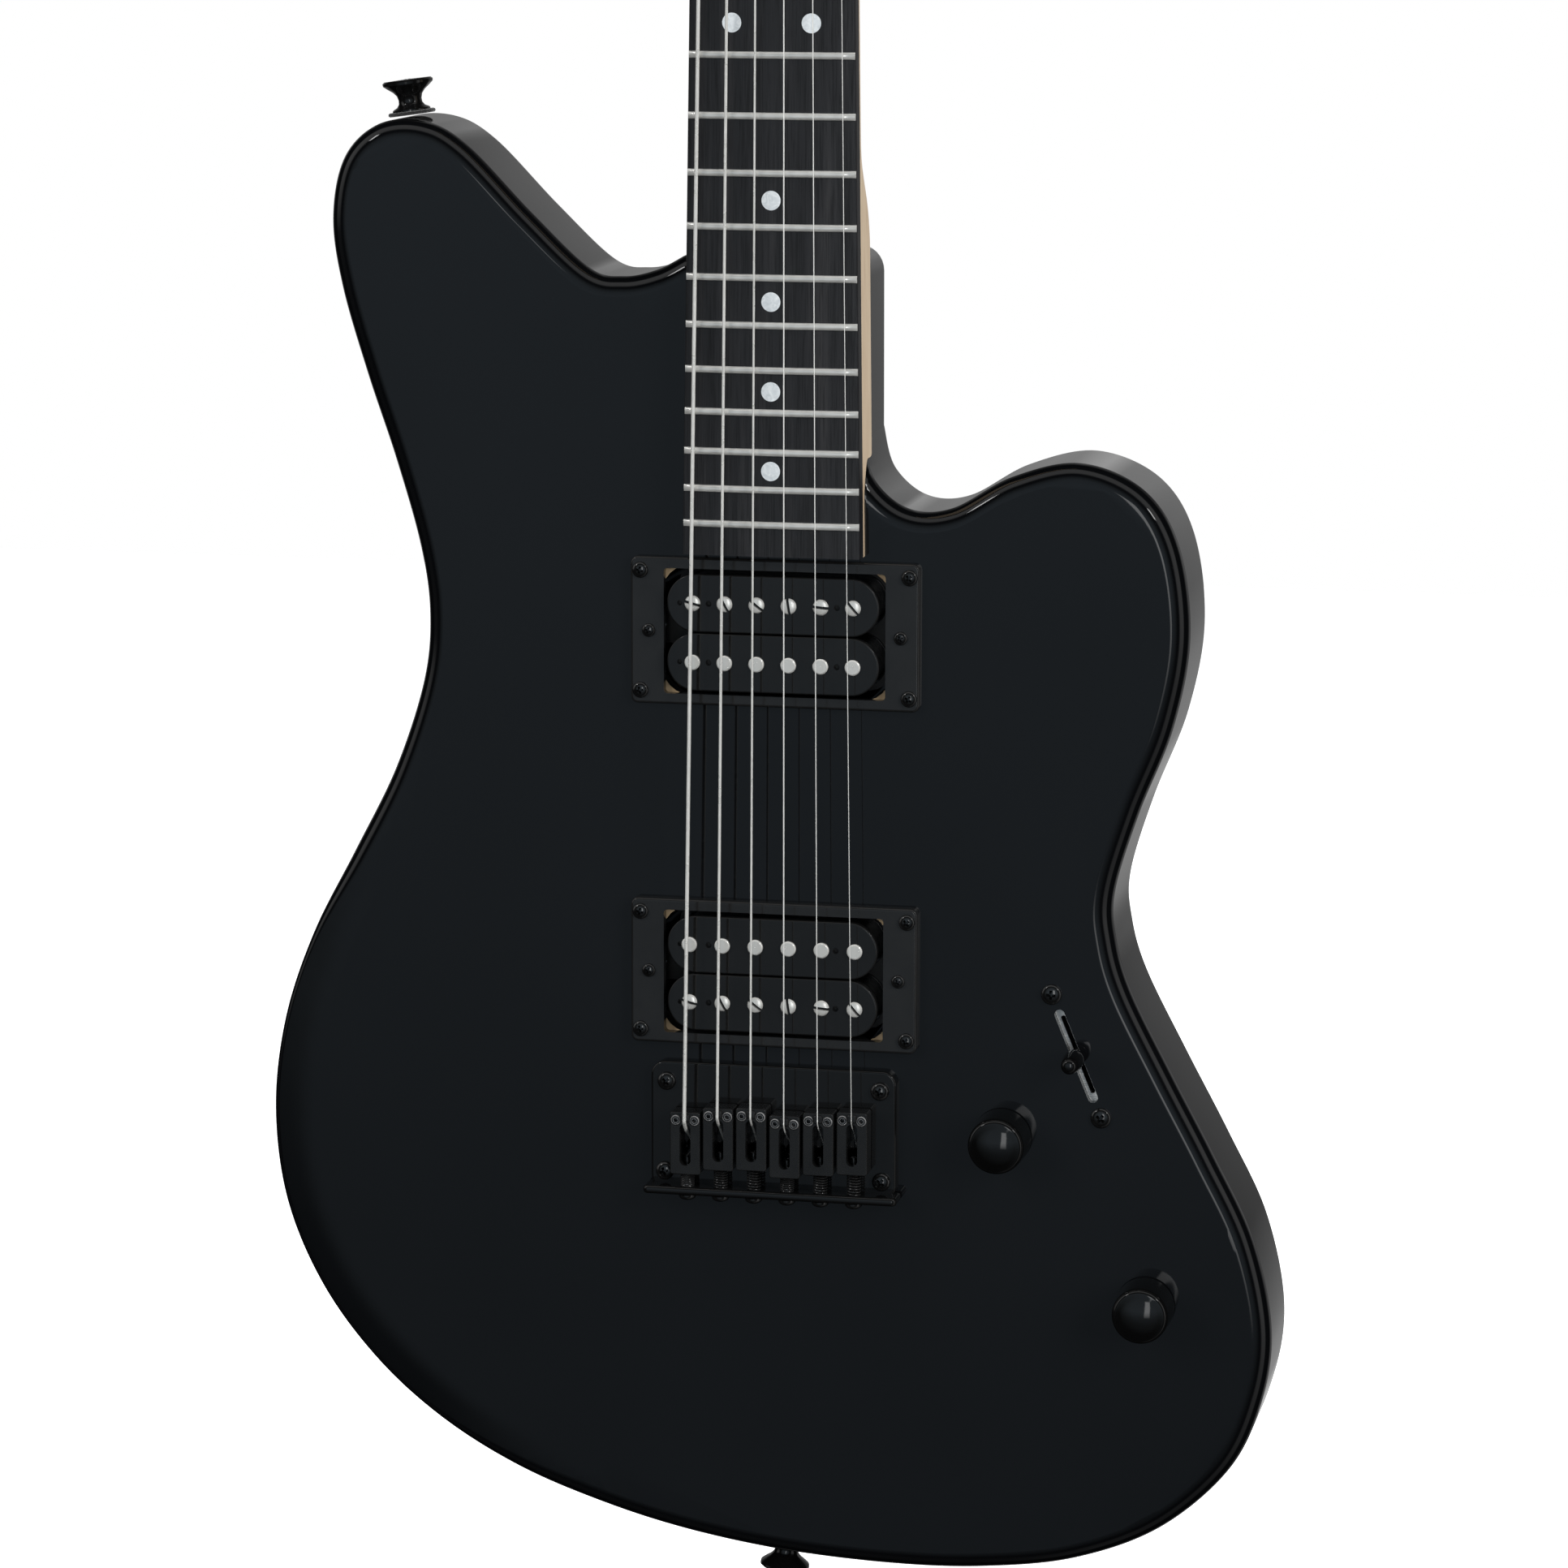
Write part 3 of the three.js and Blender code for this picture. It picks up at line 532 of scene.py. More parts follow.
def maple():
    """Pale straight-grained wood with short darker pores along the neck and a thin satin finish."""
    nodes = Nodes("maple")
    bands = nodes.noise((90, 90, 5), detail=5.0, distortion=0.6)
    tones = [(0.28, (0.68, 0.5, 0.33)), (0.5, (0.76, 0.6, 0.42)), (0.72, (0.83, 0.68, 0.49))]
    colour = nodes.ramp(bands, tones)
    pores = nodes.noise((1400, 1400, 45), detail=2.0)
    flecks = nodes.ramp(pores, [(0.33, (0.72, 0.66, 0.58)), (0.46, (1.0, 1.0, 1.0))])
    nodes.link(nodes.mix("MULTIPLY", colour, flecks, 0.6), nodes.shader.inputs["Base Color"])
    nodes.link(nodes.spread(bands, 0.36, 0.46), nodes.shader.inputs["Roughness"])
    nodes.emboss(pores, 0.02)
    nodes.set(Coat_Weight=0.15, Coat_Roughness=0.3)
    return nodes.material


def dark_board():
    """Near-black wood with fine open grain along the neck."""
    nodes = Nodes("fretboard_wood")
    bands = nodes.noise((260, 260, 9), detail=6.0, distortion=0.4)
    tones = [(0.3, (0.008, 0.0078, 0.0085)), (0.55, (0.013, 0.0127, 0.014)), (0.75, (0.026, 0.025, 0.026))]
    colour = nodes.ramp(bands, tones)
    pores = nodes.noise((2600, 2600, 70), detail=2.0)
    flecks = nodes.ramp(pores, [(0.36, grey(0.45)), (0.5, grey(1.0))])
    nodes.link(nodes.mix("MULTIPLY", colour, flecks, 0.8), nodes.shader.inputs["Base Color"])
    nodes.link(nodes.spread(pores, 0.52, 0.36), nodes.shader.inputs["Roughness"])
    nodes.emboss(pores, 0.05)
    return nodes.material


def bare_wood():
    """Unfinished pale wood inside the cavities."""
    nodes = Nodes("bare_wood")
    bands = nodes.noise((160, 160, 14), detail=5.0, distortion=0.8)
    colour = nodes.ramp(bands, [(0.3, (0.42, 0.29, 0.16)), (0.7, (0.62, 0.46, 0.28))])
    nodes.link(colour, nodes.shader.inputs["Base Color"])
    nodes.emboss(bands, 0.12)
    nodes.set(Roughness=0.75)
    return nodes.material


def lacquer():
    """Deep black gloss with the faintest unevenness of a polished finish."""
    nodes = Nodes("body_lacquer")
    haze = nodes.noise(even(7.0), detail=2.0)
    nodes.link(
        nodes.ramp(haze, [(0.3, (0.0022, 0.0024, 0.0028)), (0.7, (0.0034, 0.0037, 0.0043))]),
        nodes.shader.inputs["Base Color"],
    )
    swirls = nodes.noise(even(900.0), detail=3.0)
    nodes.link(nodes.spread(swirls, 0.035, 0.075), nodes.shader.inputs["Roughness"])
    ripple = nodes.noise(even(55.0), detail=1.0)
    nodes.emboss(ripple, 0.012, 0.6)
    nodes.set(IOR=1.5)
    return nodes.material


def brushed(name, light, rough, direction, metallic=1.0):
    """Bright metal with fine lines along one direction."""
    nodes = Nodes(name)
    lines = nodes.noise(direction, detail=3.0)
    dark = tuple(channel * 0.82 for channel in light)
    nodes.link(nodes.ramp(lines, [(0.3, dark), (0.7, light)]), nodes.shader.inputs["Base Color"])
    nodes.link(nodes.spread(lines, *rough), nodes.shader.inputs["Roughness"])
    nodes.emboss(lines, 0.008)
    nodes.set(Metallic=metallic)
    return nodes.material


def wound_steel():
    """Round-wound string: fine ridges across its length."""
    nodes = Nodes("wound_string")
    ridges = nodes.add("ShaderNodeTexWave", wave_type="BANDS", bands_direction="Z")
    ridges.inputs["Scale"].default_value = 1.0
    ridges.inputs["Distortion"].default_value = 0.0
    nodes.link(nodes.coordinates((0.0, 0.0, 1150.0)), ridges.inputs["Vector"])
    wear = nodes.noise(even(160.0), detail=3.0)
    colour = nodes.ramp(wear, [(0.3, (0.74, 0.73, 0.69)), (0.7, (0.9, 0.89, 0.85))])
    nodes.link(colour, nodes.shader.inputs["Base Color"])
    nodes.link(nodes.spread(wear, 0.24, 0.36), nodes.shader.inputs["Roughness"])
    nodes.emboss(ridges.outputs["Fac"], 0.05, 0.5)
    nodes.set(Metallic=0.45)
    return nodes.material


def pearl():
    """Pearloid inlay: pale grey with soft shifting patches."""
    nodes = Nodes("pearl_dot")
    patches = nodes.noise(even(420.0), detail=4.0, distortion=1.6)
    tones = [(0.3, (0.6, 0.64, 0.66)), (0.5, (0.7, 0.74, 0.76)), (0.7, (0.82, 0.85, 0.86))]
    colour = nodes.ramp(patches, tones)
    nodes.link(colour, nodes.shader.inputs["Base Color"])
    nodes.link(nodes.spread(patches, 0.16, 0.28), nodes.shader.inputs["Roughness"])
    return nodes.material


def felt():
    """Black felt with a rough, fibrous surface."""
    nodes = Nodes("felt")
    fibres = nodes.noise(even(2600.0), detail=5.0, roughness=0.7)
    nodes.link(nodes.ramp(fibres, [(0.3, grey(0.004)), (0.7, grey(0.03))]), nodes.shader.inputs["Base Color"])
    nodes.emboss(fibres, 0.25)
    nodes.set(Roughness=0.95, Sheen_Weight=0.4, Sheen_Roughness=0.5)
    return nodes.material


LACQUER = lacquer()
BARE_WOOD = bare_wood()
MAPLE = maple()
BOARD_WOOD = dark_board()
PEARL = pearl()
FELT = felt()
NICKEL = brushed("fret_nickel", (0.84, 0.83, 0.79), (0.14, 0.24), (40, 900, 900), metallic=0.5)
POLE_NICKEL = finish(
    "pole_nickel", (0.74, 0.73, 0.69), (0.82, 0.81, 0.77), 120, (0.2, 0.28), metallic=0.5
)
STEEL = brushed("steel", (0.66, 0.66, 0.67), (0.25, 0.4), (60, 900, 900))
BRIGHT_METAL = brushed("bright_metal", (0.9, 0.89, 0.86), (0.2, 0.32), (60, 900, 900), metallic=0.4)
STRING_STEEL = brushed("string_steel", (0.92, 0.91, 0.87), (0.2, 0.3), (1800, 1800, 40), metallic=0.4)
WOUND_STEEL = wound_steel()
BRASS = brushed("brass", (0.62, 0.46, 0.2), (0.25, 0.4), (900, 60, 900))
COIL_TAPE = finish("coil_tape", grey(0.006), grey(0.012), 90, (0.35, 0.5), relief=0.01, relief_scale=700)
SATIN_PLASTIC = finish(
    "satin_plastic", grey(0.010), grey(0.014), 60, (0.12, 0.18), relief=0.004, relief_scale=1500
)
BOBBIN_PLASTIC = finish(
    "bobbin_plastic", grey(0.0055), grey(0.0075), 60, (0.06, 0.1), relief=0.002, relief_scale=900
)
COVER_PLASTIC = finish(
    "cover_plastic", grey(0.009), grey(0.014), 40, (0.42, 0.55), relief=0.05, relief_scale=1100
)
KNOB_PLASTIC = finish("gloss_knob", grey(0.0025), grey(0.0035), 50, (0.04, 0.08), relief=0.002)
NUT_GRAPHITE = finish("nut_graphite", grey(0.010), grey(0.02), 300, (0.4, 0.55), relief=0.01)
BLACK_PLATE = finish(
    "black_plate", grey(0.0032), grey(0.0045), 45, (0.06, 0.11), relief=0.003, relief_scale=700
)
BLACK_SADDLE = finish(
    "black_saddle", grey(0.006), grey(0.009), 120, (0.2, 0.3), relief=0.006, relief_scale=1600
)
BLACK_SCREW = finish("black_screw", grey(0.003), grey(0.006), 260, (0.09, 0.16), ior=1.7, relief=0.003)
# A brighter grey metal for the rims and socket edges of the grub screws: a painted highlight.
PAINTED_HIGHLIGHT_SCREW = finish(
    "screw_painted_highlight", grey(0.22), grey(0.32), 260, (0.2, 0.3), metallic=0.6, relief=0.004
)
SPRING_STEEL = finish("spring_steel", grey(0.03), grey(0.06), 260, (0.14, 0.24), metallic=0.7, ior=1.8)
TUNER_BLACK = finish("tuner_black", grey(0.008), grey(0.013), 90, (0.14, 0.24), ior=1.6, relief=0.006)
WHITE_DOT = finish("side_dot", grey(0.6), grey(0.75), 500, (0.3, 0.4))


# ---------------------------------------------------------------- places of the strings
def string_point(i, z):
    """A string's middle at a height above the scale end."""
    share = z / SCALE_LENGTH
    x = (i / (STRING_COUNT - 1) - 0.5) * (SPREAD_BRIDGE + (SPREAD_NUT - SPREAD_BRIDGE) * share)
    height = HEIGHT_BRIDGE + (HEIGHT_NUT - HEIGHT_BRIDGE) * share
    return Vector((x, x * x / (2 * BOARD_RADIUS) - height, z))


def post_place(i):
    z = FIRST_POST_HEIGHT + POST_STEP * i
    return string_point(i, SCALE_LENGTH + z).x - POST_RADIUS - STRING_DIAMETERS[i] / 2 - WRAP_GAP, z


STRING_X = [string_point(i, 0).x for i in range(STRING_COUNT)]
FIRST_POST, LAST_POST = post_place(0), post_place(STRING_COUNT - 1)
POST_LEAN = math.atan2(LAST_POST[0] - FIRST_POST[0], LAST_POST[1] - FIRST_POST[1])

# ---------------------------------------------------------------- body
# The edge of the body from the bass side of the neck, down the bass side and up the treble side.
BODY_EDGE = [
    (-30, 262.2), (-38.5, 257.8), (-49, 255.6), (-60, 258.0), (-78.2, 274.6), (-98.3, 294.8),
    (-112, 302.0), (-126.7, 300.8), (-137.5, 290.5), (-141.4, 272), (-138.5, 250.5),
    (-130.7, 223.7), (-121.8, 197.2), (-114.2, 170.2), (-111.5, 149), (-113.7, 127.7),
    (-123, 100), (-136.4, 73.3), (-150, 46.5), (-159.8, 18.2), (-163.6, -11.4),
    (-160.1, -41.5), (-148.6, -68.9), (-130.8, -92.4), (-108.6, -111.5), (-83.2, -126.1),
    (-55.7, -136.2), (-27.5, -143.3), (4, -147.9), (38, -149.7), (67.1, -148.6),
    (95.7, -143.8), (122.3, -132.1), (143.5, -112.1), (153.3, -90), (156.1, -66.2),
    (150, -37.9), (137.5, -12.1), (124, 13.1), (111, 38.5), (106, 55), (105.4, 70),
    (112.5, 94.5), (122.7, 121.5), (127.4, 149.4), (123.6, 177.1), (112.5, 194.2),
    (93, 201.8), (72, 197), (53.7, 186.9), (40, 186.5), (29.6, 195), (26, 208),
]
CONTROL_EDGE = [
    (62, -24), (57, -8), (62, 14), (74, 41), (86, 49), (96, 43), (106, 20), (119, -6),
    (135, -38), (141, -62), (138, -86), (120, -100), (96, -105), (79, -98), (80, -82),
    (92, -66), (80, -44),
][::-1]
# The points of the control cavity's edge where the screws of its cover stand.
HATCH_SCREWS = (1, 4, 6, 9, 12, 15)
# The forearm cut slopes back towards the edge of the lower bass side. FOREARM_SPAN says, in numbers of
# points of BODY_EDGE, where it starts, is whole, begins to fade and ends.
FOREARM_REACH = 13.0
FOREARM_SLOPE = 0.155
FOREARM_SOFTNESS = 5.0
FOREARM_SPAN = (16.6, 18.4, 23.2, 25.8)
FOREARM_FIRST, FOREARM_LAST = 15, 27
FOREARM_MAX_X, FOREARM_MAX_Z = -20, 140
FOREARM_GRID = 2.5
FOREARM_CORNER, FOREARM_EXTENT = (-170, -160), 300
FOREARM_ROUNDOVER = 2.0
EDGE_STEPS = 12


def body_outline():
    outline = spline(BODY_EDGE, EDGE_STEPS)
    outline += arc(17.8, 256, 8, 0, 90, 8)
    outline.append((-24, 264))
    return outline


OUTLINE = [Vector(point) for point in body_outline()]
FOREARM_EDGE = OUTLINE[FOREARM_FIRST * EDGE_STEPS : FOREARM_LAST * EDGE_STEPS]


def forearm_strength(share):
    start, whole, fading, end = FOREARM_SPAN
    return smooth_step(share, start, whole) * (1 - smooth_step(share, fading, end))


def forearm_depth(x, z):
    """How far back the face lies at a place, by its distance from the edge and its share along the edge."""
    here = Vector((x, z))
    if x > FOREARM_MAX_X or z > FOREARM_MAX_Z:
        return 0.0
    nearest = min(range(1, len(FOREARM_EDGE) - 1), key=lambda k: (FOREARM_EDGE[k] - here).length_squared)
    distance, share = FOREARM_REACH, 0.0
    for k in (nearest - 1, nearest):
        _, along = intersect_point_line(here, FOREARM_EDGE[k], FOREARM_EDGE[k + 1])
        along = min(max(along, 0.0), 1.0)
        foot = FOREARM_EDGE[k].lerp(FOREARM_EDGE[k + 1], along)
        if (here - foot).length < distance:
            distance = (here - foot).length
            share = FOREARM_FIRST + (k + along) / EDGE_STEPS
    within = FOREARM_REACH - distance
    if within < FOREARM_SOFTNESS:
        depth = FOREARM_SLOPE * within * within / (2 * FOREARM_SOFTNESS)
    else:
        depth = FOREARM_SLOPE * (within - FOREARM_SOFTNESS / 2)
    return depth * forearm_strength(share)


def face_points(edge):
    """Points over the sloped part of the face, inside its edge."""
    inner = inset(edge, 2.0)
    points = []
    steps = int(FOREARM_EXTENT / FOREARM_GRID)
    for i in range(steps):
        for j in range(steps):
            x = FOREARM_CORNER[0] + i * FOREARM_GRID
            z = FOREARM_CORNER[1] + j * FOREARM_GRID
            sloped = forearm_depth(x, z) > 0 or forearm_depth(x - FOREARM_GRID, z - FOREARM_GRID) > 0
            if sloped and inside(x, z, inner):
                points.append((x, z))
    return points


def inside(x, z, outline):
    crossings = False
    for i, (x1, z1) in enumerate(outline):
        x0, z0 = outline[i - 1]
        if (z0 > z) != (z1 > z) and x < x0 + (z - z0) * (x1 - x0) / (z1 - z0):
            crossings = not crossings
    return crossings


def body_blank():
    """The slab of the body with rounded edges, before its cavities are cut."""
    outline = body_outline()
    count = len(outline)
    steps = 8
    radii = []
    for k in range(count):
        radii.append(BODY_ROUNDOVER + (FOREARM_ROUNDOVER - BODY_ROUNDOVER) * forearm_strength(k / EDGE_STEPS))
    stations = []
    for k in range(steps + 1):
        angle = math.pi / 2 * k / steps
        ring = inset(outline, [radius * (1 - math.sin(angle)) for radius in radii])
        depths = [radius * (1 - math.cos(angle)) for radius in radii]
        stations.append([(x, forearm_depth(x, z) + depth, z) for (x, z), depth in zip(ring, depths)])
    for k in range(steps, -1, -1):
        angle = math.pi / 2 * k / steps
        ring = inset(outline, BODY_ROUNDOVER * (1 - math.sin(angle)))
        depth = BODY_THICKNESS - BODY_ROUNDOVER * (1 - math.cos(angle))
        stations.append([(x, depth, z) for x, z in ring])
    sides = rings(stations, capped=False)
    sides.faces.append(list(range(len(sides.vertices) - count, len(sides.vertices))))
    edge = inset(outline, radii)
    flat = [Vector(p) for p in edge + face_points(edge)]
    found, _, faces, sources, _, _ = delaunay_2d_cdt(flat, [], [list(range(count))], 1, 1e-4)
    number = []
    for point, source in zip(found, sources):
        ring_source = [s for s in source if s < count]
        if ring_source:
            number.append(ring_source[0])
        else:
            number.append(len(sides.vertices))
            sides.vertices.append(Vector((point.x, forearm_depth(point.x, point.y), point.y)))
    sides.faces += [[number[i] for i in face] for face in faces]
    sides.materials = [0] * len(sides.faces)
    return sides


def cavity_outline(z):
    """A pickup cavity: a rounded box with a pocket for a mounting ear at each side."""
    reach, half_height, corner = 36, 20.25, 9
    ear_end, ear_half = 43.5, 7.5
    points = []
    for side in (1, -1):
        start = 0 if side > 0 else 180
        x, dz = side * (reach - corner), side * (half_height - corner)
        points += arc(x, -dz, corner, start - 90, start, 6)
        for across, up in ((reach, -1), (ear_end, -1), (ear_end, 1), (reach, 1)):
            points.append((side * across, side * up * ear_half))
        points += arc(x, dz, corner, start, start + 90, 6)
    return [(x, z + dz) for x, dz in points]


def openings():
    """The pickup cavities, selector slot, neck pocket, shaft holes and the tops of the string holes in the
    face, the recess of the cover in the back, and that of the jack plate in the edge."""
    cavities = [slab(cavity_outline(z), -1, CAVITY_DEPTH) for z in PICKUP_POSITIONS.values()]
    slot = slab(rounded_box(3.2, 31, 1.6), -1, CONTROL_WALL + 1).placed(SWITCH)
    cut = together([*cavities, slot])
    cut += box(56, POCKET_DEPTH + 1, 140, 0, (POCKET_DEPTH - 1) / 2, 241.7)
    cut += slab(inset(CONTROL_EDGE, -4.3), BODY_THICKNESS - 2.4, BODY_THICKNESS + 1)
    cut += box(34.6, 26.6, 6, *JACK_AT)
    for x, z in (VOLUME_AT, TONE_AT):
        cut += rod(5, -1, CONTROL_WALL + 1, x, z)
    for x in STRING_X:
        cut += rod(1.8, -1, BODY_THICKNESS - 14, x, STRING_HOLE, 12)
    return cut


def hollows():
    """The control cavity, the jack's bore, the wire way between the pickups, the ferrules' holes and the
    bare ledge round each pickup cavity."""
    cut = slab(CONTROL_EDGE, CONTROL_WALL, BODY_THICKNESS + 1)
    cut += bar(11, (JACK_AT[0], JACK_AT[1], -152), (JACK_AT[0], JACK_AT[1], -108))
    cut += bar(3.5, (24, 14, 60), (24, 14, 128), 10)
    for x in STRING_X:
        cut += rod(4, BODY_THICKNESS - 12, BODY_THICKNESS + 1, x, STRING_HOLE)
    for z in PICKUP_POSITIONS.values():
        cut += slab(rounded_box(73, 41.5, 1.5, 0, z), -1, LEDGE_DEPTH).painted(1)
    return cut


def passages():
    """The wire ways to the control cavity, and the narrow middle of each string hole."""
    cut = bar(3.5, (30, 14, 40), (74, 14, 12), 10) + bar(5, (58, 24, -116), (92, 24, -92), 10)
    for x in STRING_X:
        cut += rod(1.7, BODY_THICKNESS - 15, BODY_THICKNESS - 11, x, STRING_HOLE, 12)
    return cut


def body():
    made = body_blank().cut(openings(), hollows(), passages())
    piece("body_shell", made, [LACQUER, BARE_WOOD], replaces=["body"], slot="body_lacquer")


# ---------------------------------------------------------------- neck
def half_width(z):
    """Half the width of the board and neck; heights above the nut are positive."""
    return BOARD_HALF_NUT + (BOARD_HALF_END - BOARD_HALF_NUT) * -z / BOARD_END


def neck_section(z):
    """Flat in front and rounded behind, squarer towards the heel and the headstock."""
    heel = smooth_step(-z, HEEL_START, HEEL_TOP)
    head = smooth_step(z, -14, 18)
    length = HEEL_START - SHAFT_START
    depth = 14.2 + 1.8 * min(max(-z - SHAFT_START, 0), length) / length
    depth += (HEEL_DEPTH - 16.0) * heel - 0.8 * head
    squareness = 2.2 + 9.8 * heel**2 + 2.8 * head
    width = half_width(z) if z < 0 else BOARD_HALF_NUT + 0.2 * head
    front = -BOARD_BOTTOM
    if z > 4.65:
        front += z * math.tan(HEAD_TILT) + 0.3
    points = []
    for k in range(41):
        angle = math.pi * k / 40
        across = math.copysign(abs(math.cos(angle)) ** (2 / squareness), math.cos(angle))
        points.append((width * across, front + depth * math.sin(angle) ** (2 / squareness), z))
    return points


def headstock_outline():
    outline = [(-21.5, 4), (21.5, 4)]
    outline += spline([(21.5, 4), (21.8, 12), (23.4, 45), (26.4, 92), (30.6, 140), (33.4, 168)], 6)[1:]
    outline += bend((33.4, 168), (34, 176), (28, 182))
    outline += [(16.5, 195.5)] + bend((16.5, 195.5), (12.5, 199.5), (10.2, 194.5))
    outline += [(-32.2, 36.5)] + bend((-32.2, 36.5), (-34.5, 27.5), (-29, 22.5))
    outline += bend((-29, 22.5), (-22, 15.5), (-21.5, 4))[:-1]
    return outline


def neck():
    heights = [18, 12, 8, 4.7, 4.6, 0, -4, -8, -SHAFT_START]
    for start, end in ((SHAFT_START, HEEL_START), (HEEL_START, HEEL_TOP)):
        heights += [-start - (end - start) * k / 12 for k in range(1, 13)]
    heights.append(-BOARD_END)
    shaft = rings([neck_section(z) for z in heights])
    head = slab(headstock_outline(), 0, HEAD_THICKNESS, 0.8, 2.0).placed(HEAD)
    posts = [post_place(i) for i in range(STRING_COUNT)]
    holes = together([rod(4.6, -1, HEAD_THICKNESS + 1, x, z).placed(HEAD) for x, z in posts])
    shelf = box(60, 30, 12, 0, -BOARD_BOTTOM - 15, -1.4)
    channel = box(6.4, 9.5, 465, 0, 4.75 - BOARD_BOTTOM - 0.01, -226)
    made = shaft.cut(shelf).cut(channel) + head.cut(holes, shelf, channel)
    to_head = HEAD.inverted()
    for number, face in enumerate(made.faces):
        middle = sum((made.vertices[i] for i in face), Vector()) / len(face)
        local = to_head @ middle
        if local.z > 5 and local.y < 0.7:
            made.materials[number] = 1
    piece("neck_shaft", made, [MAPLE, LACQUER], place=Matrix(), replaces=["neck"], slot="maple")


def board_top(x):
    return x * x / (2 * BOARD_RADIUS) - BOARD_TOP


def fret_height(number):
    return SCALE_LENGTH * (2 ** (-number / 12) - 1)


def board_section(z):
    half = half_width(z)
    points = [(half, -BOARD_BOTTOM - 0.05, z), (-half, -BOARD_BOTTOM - 0.05, z)]
    points += [(-half, board_top(half) + 0.5, z), (-half + 0.15, board_top(half) + 0.15, z)]
    for k in range(33):
        x = (half - 0.5) * (k / 16 - 1)
        points.append((x, board_top(x), z))
    points += [(half - 0.15, board_top(half) + 0.15, z), (half, board_top(half) + 0.5, z)]
    return points


def fret(number):
    """A domed crown across the board, with its ends filed to a slope."""
    z = fret_height(number)
    half = half_width(z) - 0.2
    stations = []
    for k in range(25):
        share = k / 12 - 1
        x = half * share
        ends = max(0.0, 1 - (1 - abs(share)) * half / FRET_BEVEL)
        height = FRET_RISE * (1 - 0.85 * ends)
        top = board_top(x)
        ring = [(x, top + 0.5, z - FRET_HALF), (x, top + 0.02, z - FRET_HALF)]
        for j in range(1, 8):
            angle = math.pi * j / 8
            ring.append((x, top - height * math.sin(angle) ** 0.8, z - FRET_HALF * math.cos(angle)))
        ring += [(x, top + 0.02, z + FRET_HALF), (x, top + 0.5, z + FRET_HALF)]
        stations.append(ring)
    return rings(stations)


def dot(radius, x, z):
    """A flat disc that follows the board's curve, standing just proud of it."""
    made = turned([(0, 0), (radius - 0.1, 0), (radius, 0.06), (radius, 0.5), (0, 0.5)], 40)
    made.moved(x, 0, z)
    for v in made.vertices:
        v.y += board_top(v.x) - 0.03
    return made


def fretboard():
    board = rings([board_section(-0.05), board_section(-BOARD_END)])
    piece("fingerboard", board, [BOARD_WOOD], place=Matrix(), replaces=["fretboard"], slot="fretboard_wood")
    for number in range(1, FRET_COUNT + 1):
        piece(f"fret_{number}", fret(number), [NICKEL], place=Matrix(), slot="steel")
    for number in DOT_FRETS:
        z = (fret_height(number - 1) + fret_height(number)) / 2
        spots = [-12.2, 12.2] if number == 12 else [0]
        for mark, x in zip("ab", spots):
            piece(f"dot_{number}{mark}", dot(3.0, x, z), [PEARL], place=Matrix(), slot="nut_graphite")
        discs = []
        for shift in [-3, 3] if number == 12 else [0]:
            disc = turned([(0, 0), (1.0, 0), (1.0, 0.4), (0, 0.4)], 20)
            place = at(-half_width(z) - 0.04, -5.0, z + shift) @ turn("Z", -math.pi / 2)
            discs.append(disc.placed(place))
        piece(f"side_dot_{number}", together(discs), [WHITE_DOT], place=Matrix(), slot="nut_graphite")


# ---------------------------------------------------------------- screws
def cross_recess(size, front, depth):
    """A cross-shaped recess that narrows as it goes in."""
    narrow = size * 0.3
    arm = [(narrow, narrow), (narrow, size), (-narrow, size)]
    plus = []
    for _ in range(4):
        plus += arm
        arm = [(-z, x) for x, z in arm]
    top = [(x * 1.05, front, z * 1.05) for x, z in plus]
    bottom = [(x * 0.4, front + depth, z * 0.4) for x, z in plus]
    return rings([top, bottom])


def domed(radius, height, length, shaft):
    """A domed screw with a cross in its head, the head towards -Y and its underside at 0."""
    profile = [(0, -height)]
    for k in range(1, 9):
        angle = math.pi / 2 * k / 8
        profile.append((radius * math.sin(angle), -height * (0.25 + 0.75 * math.cos(angle))))
    profile += [(radius, 0), (shaft, 0), (shaft, length), (0, length + shaft)]
    return turned(profile, 36).cut(cross_recess(radius * 0.52, -height - 0.2, height * 0.85 + 0.2))


def put(name, solid, materials, spots, turns=(0,), **options):
    """One piece for each of several equal solids, each turned a little differently."""
    base = options.pop("place", LOW)
    for number, spot in enumerate(spots):
        place = base @ at(*spot) @ turn("Y", math.radians(turns[number % len(turns)]))
        piece(f"{name}_{number + 1}", solid, materials, place=place, **options)


RING_SCREW = domed(2.5, 1.5, 12, 1.3)
PLATE_SCREW = domed(2.9, 1.9, 18, 1.6)
SMALL_SCREW = domed(2.2, 1.2, 8, 1.0)


# ---------------------------------------------------------------- pickups
def pole_slug():
    return turned([(0, 0), (2.05, 0), (2.4, 0.3), (2.4, 18), (0, 18)], 32)


def pole_screw():
    profile = [(0, -0.1), (1.4, -0.05), (2.1, 0.15), (2.45, 0.6), (2.45, 2.2), (1.5, 2.2), (1.5, 19), (0, 19)]
    return turned(profile, 32).cut(box(7, 2.4, 0.9, 0, 0, 0))


def bobbin():
    """A coil former with its winding between two flanges, and small holes in its top."""
    top = slab(rounded_box(66.4, 17.9, 8.9, steps=14), -5, -2.4, 0.5, 0.2)
    holes = [rod(radius, -6, -1, x, 0, 16) for x, radius in ((-20.1, 0.95), (20.1, 0.95), (-29.2, 0.8))]
    made = top.cut(together(holes))
    made += slab(rounded_box(63, 14.4, 7.2, steps=14), -2.35, 10.2).painted(1)
    made += slab(rounded_box(66, 17.5, 8.7, steps=14), 10.25, 11.9, 0.2, 0.2)
    return made


